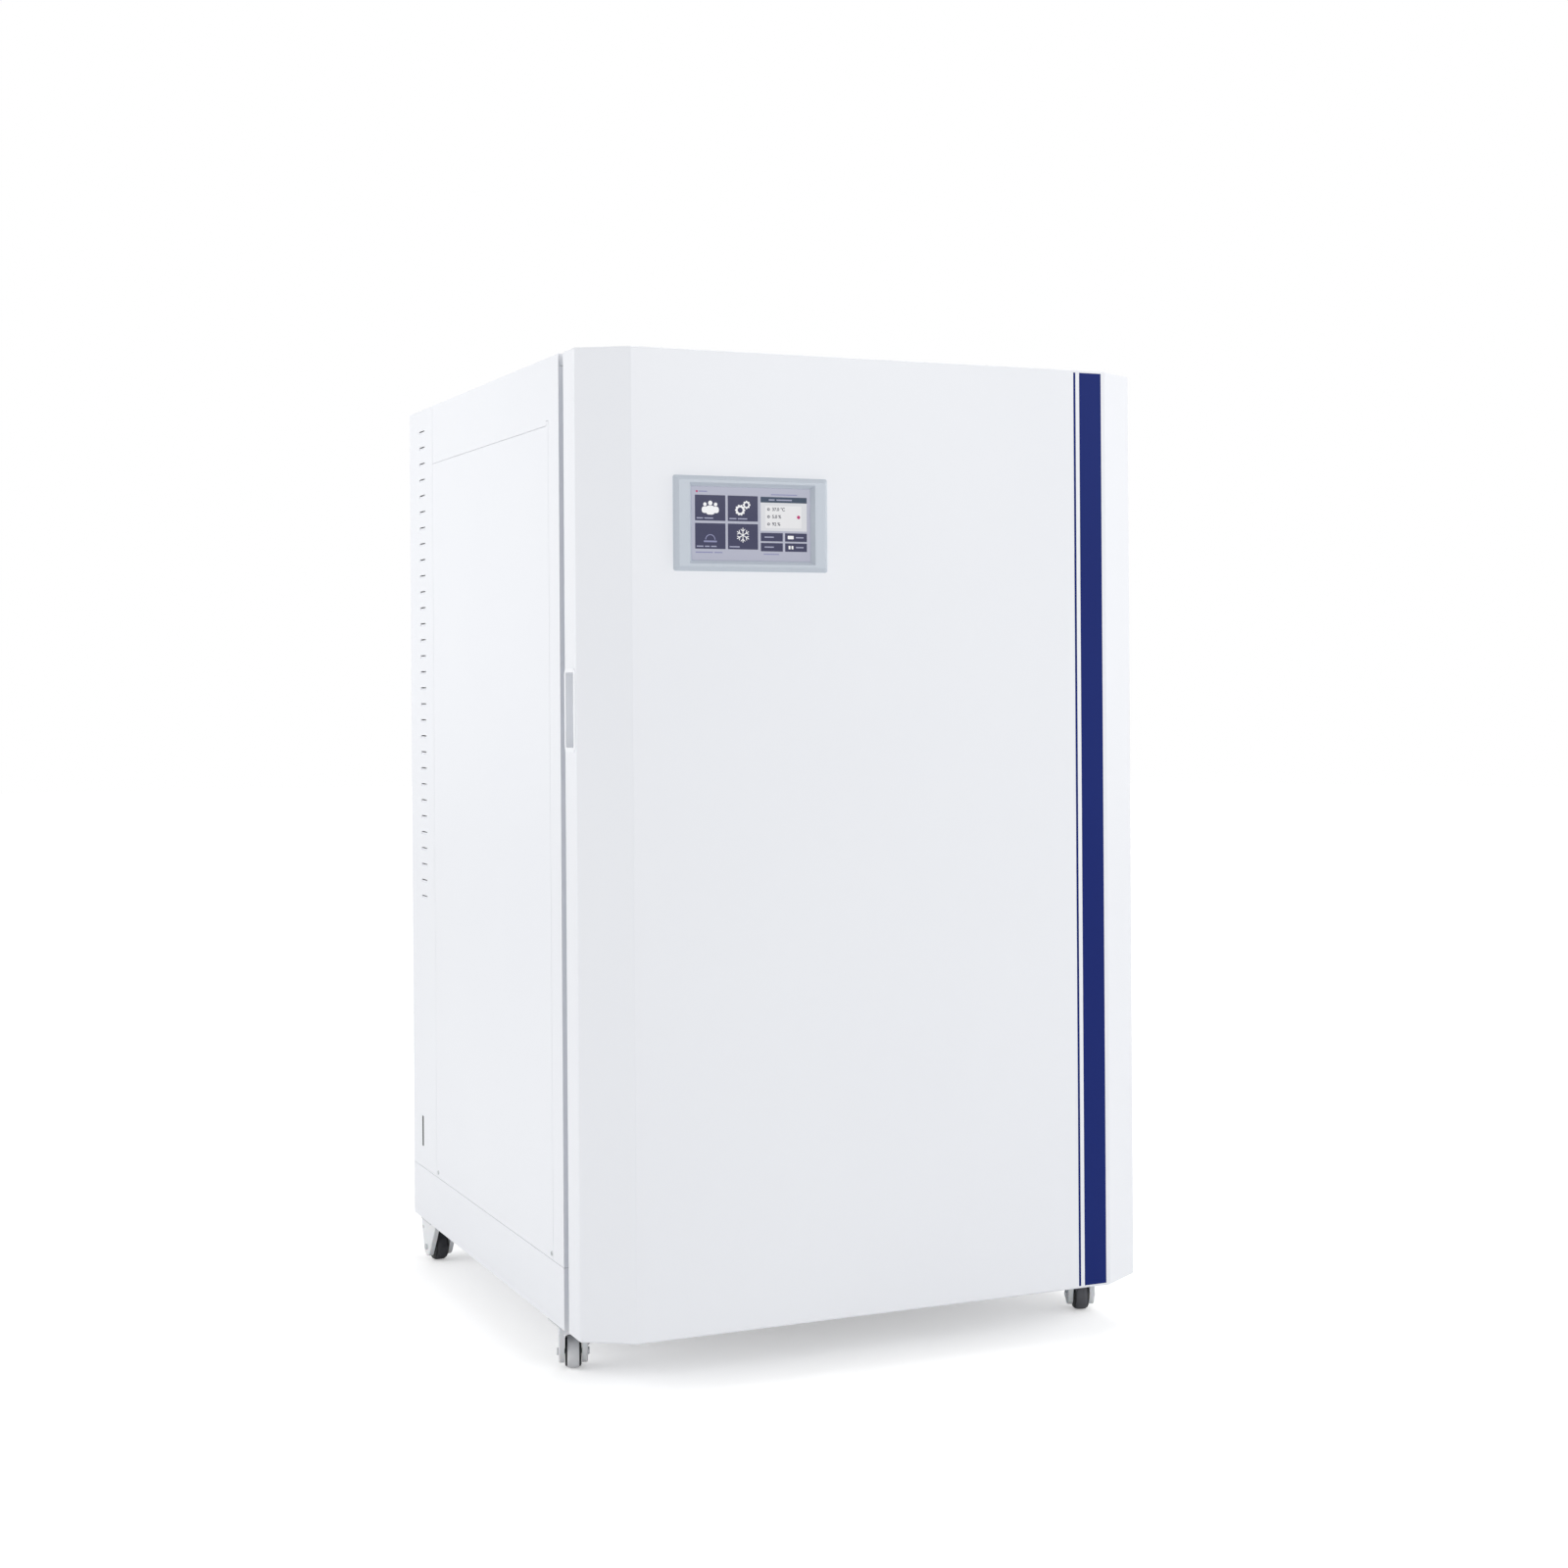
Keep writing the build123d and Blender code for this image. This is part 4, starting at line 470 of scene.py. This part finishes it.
picture_plate(bm, 124.4, 68.2, 2.4, 4.0, 2, 0, 0.4)
picture_plate(bm, 128.2, 68.2, 2.4, 4.0, 2, 0, 0.4)
picture_plate(bm, 134.0, 69.4, 10.0, 1.3, 2, 3, 0.2)
symbols = stand("display_symbols", bm, "outer_door", symbol, faint, faint, lit("lit_caption", "#A9ABC4"))

# Values on the light panel: plain numbers with their units, cut from the type that the panel shows.
first_row_z = 25.2
row_pitch = 8.8
bm = bmesh.new()
picture_plate(bm, 94.4, 20.8, 47.0, 26.4, 2, 1, 0.8)
for row in range(3):
    middle = first_row_z + row_pitch * row
    disc(bm, 98.6, middle, 1.7, 3, 0, 20)
    disc(bm, 98.6, middle, 0.8, 4, 1, 16)
disc(bm, 137.6, 34.0, 2.1, 3, 2, 24)
marks = stand("display_panel_marks", bm, "outer_door", ink, lit("lit_card", "#E6E6E8"), magenta)
number_meshes = []
for row, words in enumerate(("37.0 °C", "5.0 %", "92 %")):
    text = bpy.data.curves.new("value_text", "FONT")
    text.body = words
    text.size = 5.4 * mm
    text.extrude = layer / 2
    text.offset = 0.1 * mm
    text.align_x = "LEFT"
    text.align_y = "CENTER"
    holder = bpy.data.objects.new("value_text", text)
    scene.collection.objects.link(holder)
    bpy.context.view_layer.update()
    mesh = bpy.data.meshes.new_from_object(holder)
    bpy.data.objects.remove(holder)
    spot = on_screen(103.2, first_row_z + row_pitch * row, 3.5)
    mesh.transform(Matrix.Translation(spot) @ Matrix.Rotation(math.pi / 2, 4, "X"))
    number_meshes.append(mesh)
bm = bmesh.new()
for mesh in number_meshes:
    bm.from_mesh(mesh)
    bpy.data.meshes.remove(mesh)
bmesh.ops.remove_doubles(bm, verts=bm.verts, dist=0.000002)
numbers = stand("display_numbers", bm, "outer_door", ink)

# Gaskets: the outer door has a magnetic PVC profile in grey blue, and the glass door a ring of translucent
# silicone. Both are soft extrusions with a dull skin. The port's plug is cast in the same silicone.
gasket_pvc = moulding("grey_blue_extruded_pvc", "#AAB2C1", "#A0A8B8", 0.55, grain=1.2, Specular_IOR_Level=0.4)
dress(gasket_pvc, "door_gasket")
silicone = moulding(
    "translucent_cast_silicone", "#ECECE6", "#E2E3DD", 0.42, grain=1.5, Subsurface_Weight=0.25,
    Subsurface_Scale=0.004,
)
dress(silicone, "glass_gasket", "port_plug")


# Stainless sheet: the liner, racks, shelves, duct and humidity pan are brushed. The brush lines run along the
# sheet and are a third of a millimetre apart, drawn coarser so that they show.
def brushed(name, colour, shade, along, roughness=0.3, spacing=1.0):
    """Brushed sheet whose lines run along one axis."""
    tree, shader, material = finish(name, Metallic=1.0)
    place = add(tree, "TexCoord")
    pitch = 1000 / spacing
    stretch = [pitch, pitch, pitch]
    stretch["XYZ".index(along)] = pitch / 120
    lines = add(tree, "Mapping", {"Scale": stretch}, {"Vector": place.outputs["Object"]})
    brush = add(tree, "TexNoise", {"Scale": 1.0, "Detail": 3.0}, {"Vector": lines.outputs[0]})
    cloud = add(tree, "TexNoise", {"Scale": 5.0, "Detail": 2.0}, {"Vector": place.outputs["Object"]})
    tone = add(tree, "Mix", {6: srgb(colour), 7: srgb(shade)}, {0: brush.outputs[0]}, data_type="RGBA")
    feed(tree, tone.outputs[2], shader, "Base Color")
    blend = add(tree, "Math", {}, {0: brush.outputs[0], 1: cloud.outputs[0]}, operation="ADD")
    dull = add(
        tree, "MapRange", {"From Max": 2.0, "To Min": roughness - 0.1, "To Max": roughness + 0.12},
        {"Value": blend.outputs[0]},
    )
    feed(tree, dull.outputs[0], shader, "Roughness")
    bump = add(tree, "Bump", {"Strength": 0.3, "Distance": 0.00003}, {"Height": brush.outputs[0]})
    feed(tree, bump.outputs[0], shader, "Normal")
    return material


stainless_x = brushed("brushed_stainless_across", "#CFD1D4", "#B9BBBF", "X")
stainless_y = brushed("brushed_stainless_along", "#CFD1D4", "#B9BBBF", "Y")
stainless_z = brushed("brushed_stainless_upright", "#CFD1D4", "#B9BBBF", "Z")
dress(stainless_z, "chamber_liner", "fan_duct", "latch_strike")
dress(stainless_y, "left_shelf_rack", "right_shelf_rack")
dress(
    stainless_x,
    "shelf_1", "shelf_2", "shelf_3", "humidity_pan", "glass_brackets", "glass_clamps", "port_sleeve",
)


# Galvanised sheet: the connection recess and the control tray are bare hot-dipped steel, with its cool grey
# spangle of crystals about a centimetre wide.
tree, zinc_shader, galvanised = finish("hot_dipped_galvanised_steel", Metallic=1.0)
place = add(tree, "TexCoord")
spangle = add(tree, "TexVoronoi", {"Scale": 90.0, "Randomness": 1.0}, {"Vector": place.outputs["Object"]})
crystal = add(tree, "SeparateColor", links={0: spangle.outputs["Color"]})
tone = add(
    tree, "Mix", {6: srgb("#B9BDC3"), 7: srgb("#CDD1D6")}, {0: crystal.outputs[0]}, data_type="RGBA"
)
feed(tree, tone.outputs[2], zinc_shader, "Base Color")
dull = add(tree, "MapRange", {"To Min": 0.38, "To Max": 0.55}, {"Value": crystal.outputs[1]})
feed(tree, dull.outputs[0], zinc_shader, "Roughness")
dress(galvanised, "connection_recess", "control_tray")

# Hinges and caster plates: pressed steel with a bright zinc plating, slightly mottled.
tree, plated_shader, zinc_plate = finish("bright_zinc_plated_steel", Metallic=1.0)
place = add(tree, "TexCoord")
mottle = add(tree, "TexNoise", {"Scale": 120.0, "Detail": 4.0}, {"Vector": place.outputs["Object"]})
tone = add(
    tree, "Mix", {6: srgb("#C2C6C9"), 7: srgb("#DADDDE")}, {0: mottle.outputs[0]}, data_type="RGBA"
)
feed(tree, tone.outputs[2], plated_shader, "Base Color")
dull = add(tree, "MapRange", {"To Min": 0.24, "To Max": 0.42}, {"Value": mottle.outputs[0]})
feed(tree, dull.outputs[0], plated_shader, "Roughness")
dress(zinc_plate, "cabinet_hinges", "door_hinges", "caster_plates")

# Insulation and door core: rigid polyurethane foam, cut from block, so that its cells of about a millimetre
# show.
tree, foam_shader, foam = finish("cut_polyurethane_foam", Roughness=0.95, Specular_IOR_Level=0.2)
place = add(tree, "TexCoord")
cells = add(tree, "TexVoronoi", {"Scale": 900.0}, {"Vector": place.outputs["Object"]})
tone = add(
    tree, "Mix", {6: srgb("#D9CFA8"), 7: srgb("#EFE7C6")}, {0: cells.outputs["Distance"]}, data_type="RGBA"
)
feed(tree, tone.outputs[2], foam_shader, "Base Color")
bump = add(tree, "Bump", {"Strength": 0.6, "Distance": 0.0003}, {"Height": cells.outputs["Distance"]})
feed(tree, bump.outputs[0], foam_shader, "Normal")
dress(foam, "insulation", "door_core")

# Glass door: a toughened float pane with polished edges, faintly green through its thickness.
tree, pane_shader, pane_glass = finish(
    "toughened_float_glass", Base_Color=srgb("#F1FAF5"), Transmission_Weight=1.0, IOR=1.52
)
place = add(tree, "TexCoord")
haze = add(tree, "TexNoise", {"Scale": 6.0, "Detail": 2.0}, {"Vector": place.outputs["Object"]})
dull = add(tree, "MapRange", {"To Min": 0.0, "To Max": 0.03}, {"Value": haze.outputs[0]})
feed(tree, dull.outputs[0], pane_shader, "Roughness")
dress(pane_glass, "glass_pane")

# Latch knob, mains inlet, switch, rocker and display module: black moulded nylon with a fine grain.
black_nylon = moulding("black_moulded_nylon", "#17181B", "#1F2024", 0.5)
dress(black_nylon, "latch_knob", "mains_inlet", "switch_frame", "power_rocker", "display_module")
# the black block in each upright slot is painted shade for the dark of the opening
painted_shade_blocks = stand("side_slot_painted_shade_blocks", slot_shade_block_bm, "cabinet", black_nylon)

# Fan motor: a die-cast housing with a grey stove enamel. The impeller is moulded in pale heat-proof nylon.
enamel = moulding("grey_stove_enamel", "#4B4F55", "#42464C", 0.4, grain=2.0)
dress(enamel, "fan_motor")
pale_nylon = moulding(
    "natural_moulded_nylon", "#E9E6DC", "#DFDCD2", 0.48, Subsurface_Weight=0.1, Subsurface_Scale=0.003
)
dress(pale_nylon, "fan_impeller", "sensor_probe")


# Air filter: two white caps with a ring of pleated glass-fibre paper glued between them. The pleats are drawn
# four millimetres apart from the angle round the middle.
def round_the(tree, place, centre):
    """The angle round an upright axis in radians, and the place from that axis, from Object coordinates."""
    moved = add(tree, "VectorMath", {1: centre}, {0: place.outputs["Object"]}, operation="SUBTRACT")
    axes = add(tree, "SeparateXYZ", links={0: moved.outputs[0]})
    return add(tree, "Math", links={0: axes.outputs[1], 1: axes.outputs[0]}, operation="ARCTAN2"), axes


tree, pleat_shader, pleated = finish("pleated_glass_fibre_paper", Roughness=0.85)
place = add(tree, "TexCoord")
filter_low, filter_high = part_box("air_filter")
filter_centre = (filter_low + filter_high) / 2
angle, axes = round_the(tree, place, tuple(filter_centre))
pleat_count = 138
pleats = add(tree, "Math", {1: float(pleat_count)}, {0: angle.outputs[0]}, operation="MULTIPLY")
wave = add(tree, "Math", links={0: pleats.outputs[0]}, operation="SINE")
level = add(tree, "MapRange", {"From Min": -1.0}, {"Value": wave.outputs[0]})
height = add(tree, "Math", links={0: axes.outputs[2]}, operation="ABSOLUTE")
cap_height = 5.2 * mm
paper_half = (filter_high.z - filter_low.z) / 2 - cap_height
within = add(tree, "Math", {1: paper_half}, {0: height.outputs[0]}, operation="LESS_THAN")
shading = add(tree, "Math", links={0: level.outputs[0], 1: within.outputs[0]}, operation="MULTIPLY")
# the paper's grey follows the pleat wave and is darker where the wave is high, as painted shade of the pleats;
# the caps stay white
tone = add(tree, "Mix", {6: srgb("#F1F1EE"), 7: srgb("#C9C9C4")}, {0: shading.outputs[0]}, data_type="RGBA")
feed(tree, tone.outputs[2], pleat_shader, "Base Color")
bump = add(tree, "Bump", {"Strength": 0.8, "Distance": 0.0015}, {"Height": shading.outputs[0]})
feed(tree, bump.outputs[0], pleat_shader, "Normal")
dress(pleated, "air_filter")

# Gas inlet: a turned brass stub with its two nuts, and the fine rings that the cutter leaves.
tree, brass_shader, brass = finish("turned_brass", Metallic=1.0)
place = add(tree, "TexCoord")
stretch = add(tree, "Mapping", {"Scale": (40.0, 2500.0, 40.0)}, {"Vector": place.outputs["Object"]})
rings = add(tree, "TexNoise", {"Scale": 1.0, "Detail": 2.0}, {"Vector": stretch.outputs[0]})
tone = add(tree, "Mix", {6: srgb("#C9A659"), 7: srgb("#DCC07A")}, {0: rings.outputs[0]}, data_type="RGBA")
feed(tree, tone.outputs[2], brass_shader, "Base Color")
dull = add(tree, "MapRange", {"To Min": 0.22, "To Max": 0.38}, {"Value": rings.outputs[0]})
feed(tree, dull.outputs[0], brass_shader, "Roughness")
dress(brass, "gas_inlet")

# Casters: forks of white nylon, a pedal of grey nylon with a black pad on its tip, and a wheel with a black
# nylon core and a narrow tread.
fork_nylon = moulding(
    "white_moulded_nylon", "#EDEFF1", "#E4E6E9", 0.36, Subsurface_Weight=0.08, Subsurface_Scale=0.003
)
pedal_nylon = moulding("grey_moulded_nylon", "#DDDFE2", "#D3D5D9", 0.42)
tyre_black = moulding("black_wheel_nylon", "#131417", "#1B1C20", 0.4)
# the wheels are alike, but their tread greys are painted light and shade by corner: the front left one is
# lightened against the shade under the cabinet, the front right one darkened as painted shade, the rear ones
# dark grey
tread_greys_painted_lit_and_shaded = {"front_left": ("#E8E9EB", "#DDDEE1"), "front_right": ("#5A5B60", "#505156")}
headings = {"front_left": 18.0, "front_right": 202.0, "rear_left": -4.0, "rear_right": 191.0}


def lathe(bm, profile, centre, axis, side, steps, slot=0):
    """A closed ring, spun round an axis from points along it and away from it in millimetres."""
    loop = [bm.verts.new(centre + axis * (a * mm) + side * (r * mm)) for a, r in profile]
    edges = [bm.edges.new((loop[i], loop[(i + 1) % len(loop)])) for i in range(len(loop))]
    before = set(bm.faces)
    bmesh.ops.spin(
        bm, geom=loop + edges, cent=centre, axis=axis, angle=2 * math.pi, steps=steps, use_merge=True
    )
    made = [face for face in bm.faces if face not in before]
    for face in made:
        face.material_index = slot
        face.smooth = True
    bmesh.ops.recalc_face_normals(bm, faces=made)


# half of the core, from its hub over the dished web to the shoulder
core_profile = (
    (0.3, 3.1), (9.4, 3.1), (10.0, 3.7), (10.0, 6.0), (9.4, 6.6), (7.6, 7.4), (7.4, 13.0), (8.2, 13.8),
    (9.6, 14.2), (10.0, 15.0), (9.8, 16.4), (8.6, 18.2), (7.6, 18.7), (7.4, 17.0), (0.3, 17.0),
)
tread_profile = (
    (-7.2, 17.3), (-7.2, 18.9), (-6.2, 19.6), (-3.0, 20.0), (3.0, 20.0), (6.2, 19.6), (7.2, 18.9), (7.2, 17.3),
)
up = Vector((0, 0, 1))
for corner, heading in headings.items():
    tread = moulding(
        "tread_painted_lit_and_shaded_" + corner, *tread_greys_painted_lit_and_shaded.get(corner, ("#3A3B40", "#323338")), 0.6, grain=1.5
    )
    turn = math.radians(heading)
    trail = Vector((math.sin(turn), math.cos(turn), 0))
    across = Vector((math.cos(turn), -math.sin(turn), 0))
    low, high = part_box("caster_wheel_" + corner)
    hub = (low + high) / 2
    bm = bmesh.new()
    for side in (-1, 1):
        lathe(bm, [(side * a, r) for a, r in core_profile], hub, across, up, 48)
    lathe(bm, tread_profile, hub, across, up, 64, 1)
    wheel = stand("wheel_" + corner, bm, "wheel_" + corner, tyre_black, tread)
    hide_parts("caster_wheel_" + corner)
    dress(fork_nylon, "caster_fork_" + corner)
    dress(pedal_nylon, "caster_brake_" + corner)
    # hexagon ends of the axle bolt, sunk a little into both cheeks
    bm = bmesh.new()
    for side in (-1, 1):
        place = (
            Matrix.Translation(hub + across * (side * 18.7 * mm))
            @ across.to_track_quat("Z", "Y").to_matrix().to_4x4()
        )
        made = bmesh.ops.create_cone(
            bm, cap_ends=True, segments=6, radius1=4.6 * mm, radius2=4.6 * mm, depth=2.2 * mm, matrix=place
        )
        rim = list({edge for vert in made["verts"] for edge in vert.link_edges})
        bmesh.ops.bevel(bm, geom=rim, offset=0.35 * mm, segments=2, profile=0.5, affect="EDGES", material=-1)
    bolts = stand("axle_bolts_" + corner, bm, "fork_" + corner, zinc_plate)
    # the pad on the tip of the pedal
    kingpin = hub - trail * (16.0 * mm)
    kingpin.z = 0.0
    pad_centre = kingpin + across * (36.6 * mm) + trail * (21.0 * mm) + up * (45.3 * mm)
    turned = Matrix((across, trail, up)).transposed().to_4x4()
    place = Matrix.Translation(pad_centre) @ turned @ Matrix.Diagonal((1.6 * mm, 20.0 * mm, 6.0 * mm, 1))
    bm = bmesh.new()
    made = bmesh.ops.create_cube(bm, size=1.0, matrix=place)
    rim = list({edge for vert in made["verts"] for edge in vert.link_edges})
    bmesh.ops.bevel(bm, geom=rim, offset=0.6 * mm, segments=3, profile=0.5, affect="EDGES", material=-1)
    pad = stand("pedal_pad_" + corner, bm, "brake_" + corner, tyre_black)


# Cover screws: pan heads with a sunk round middle hold the foot of each service cover and the rim of the
# rear panel.
def pan_head(bm, spot, outward, radius=3.2, rise=0.8):
    """A pan-head screw with a sunk round middle, standing on a panel."""
    outward = Vector(outward)
    turned = outward.to_track_quat("Z", "Y").to_matrix().to_4x4()
    place = Matrix.Translation(Vector(spot) + outward * (rise / 2 * mm)) @ turned
    made = bmesh.ops.create_cone(
        bm, cap_ends=True, segments=32, radius1=radius * mm, radius2=radius * 0.86 * mm, depth=rise * mm,
        matrix=place,
    )
    faces = {face for vert in made["verts"] for face in vert.link_faces}
    cap = max(faces, key=lambda face: face.calc_center_median().dot(outward))
    bmesh.ops.inset_individual(bm, faces=[cap], thickness=radius * 0.28 * mm, depth=0.0)
    sink = bmesh.ops.extrude_face_region(bm, geom=[cap])
    low = [g for g in sink["geom"] if isinstance(g, bmesh.types.BMVert)]
    bmesh.ops.translate(bm, vec=outward * (-0.35 * mm), verts=low)
    if cap.is_valid:
        bmesh.ops.delete(bm, geom=[cap], context="FACES_ONLY")


bm = bmesh.new()
cover_low, cover_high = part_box("left_service_cover")
for side in (-1, 1):
    for y in (cover_low.y + 4.8 * mm, cover_high.y - 8 * mm):
        pan_head(bm, (side * abs(cover_low.x), y, cover_low.z + 7.4 * mm), (side, 0, 0))
panel_low, panel_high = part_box("rear_panel")
for side in (-1, 1):
    for step in range(6):
        z = panel_low.z + 12 * mm + step * (panel_high.z - panel_low.z - 24 * mm) / 5
        pan_head(bm, (side * (panel_high.x - 8 * mm), panel_high.y, z), (0, 1, 0), radius=3.6, rise=1.6)
screws = stand("panel_screws", bm, "cabinet", zinc_plate)
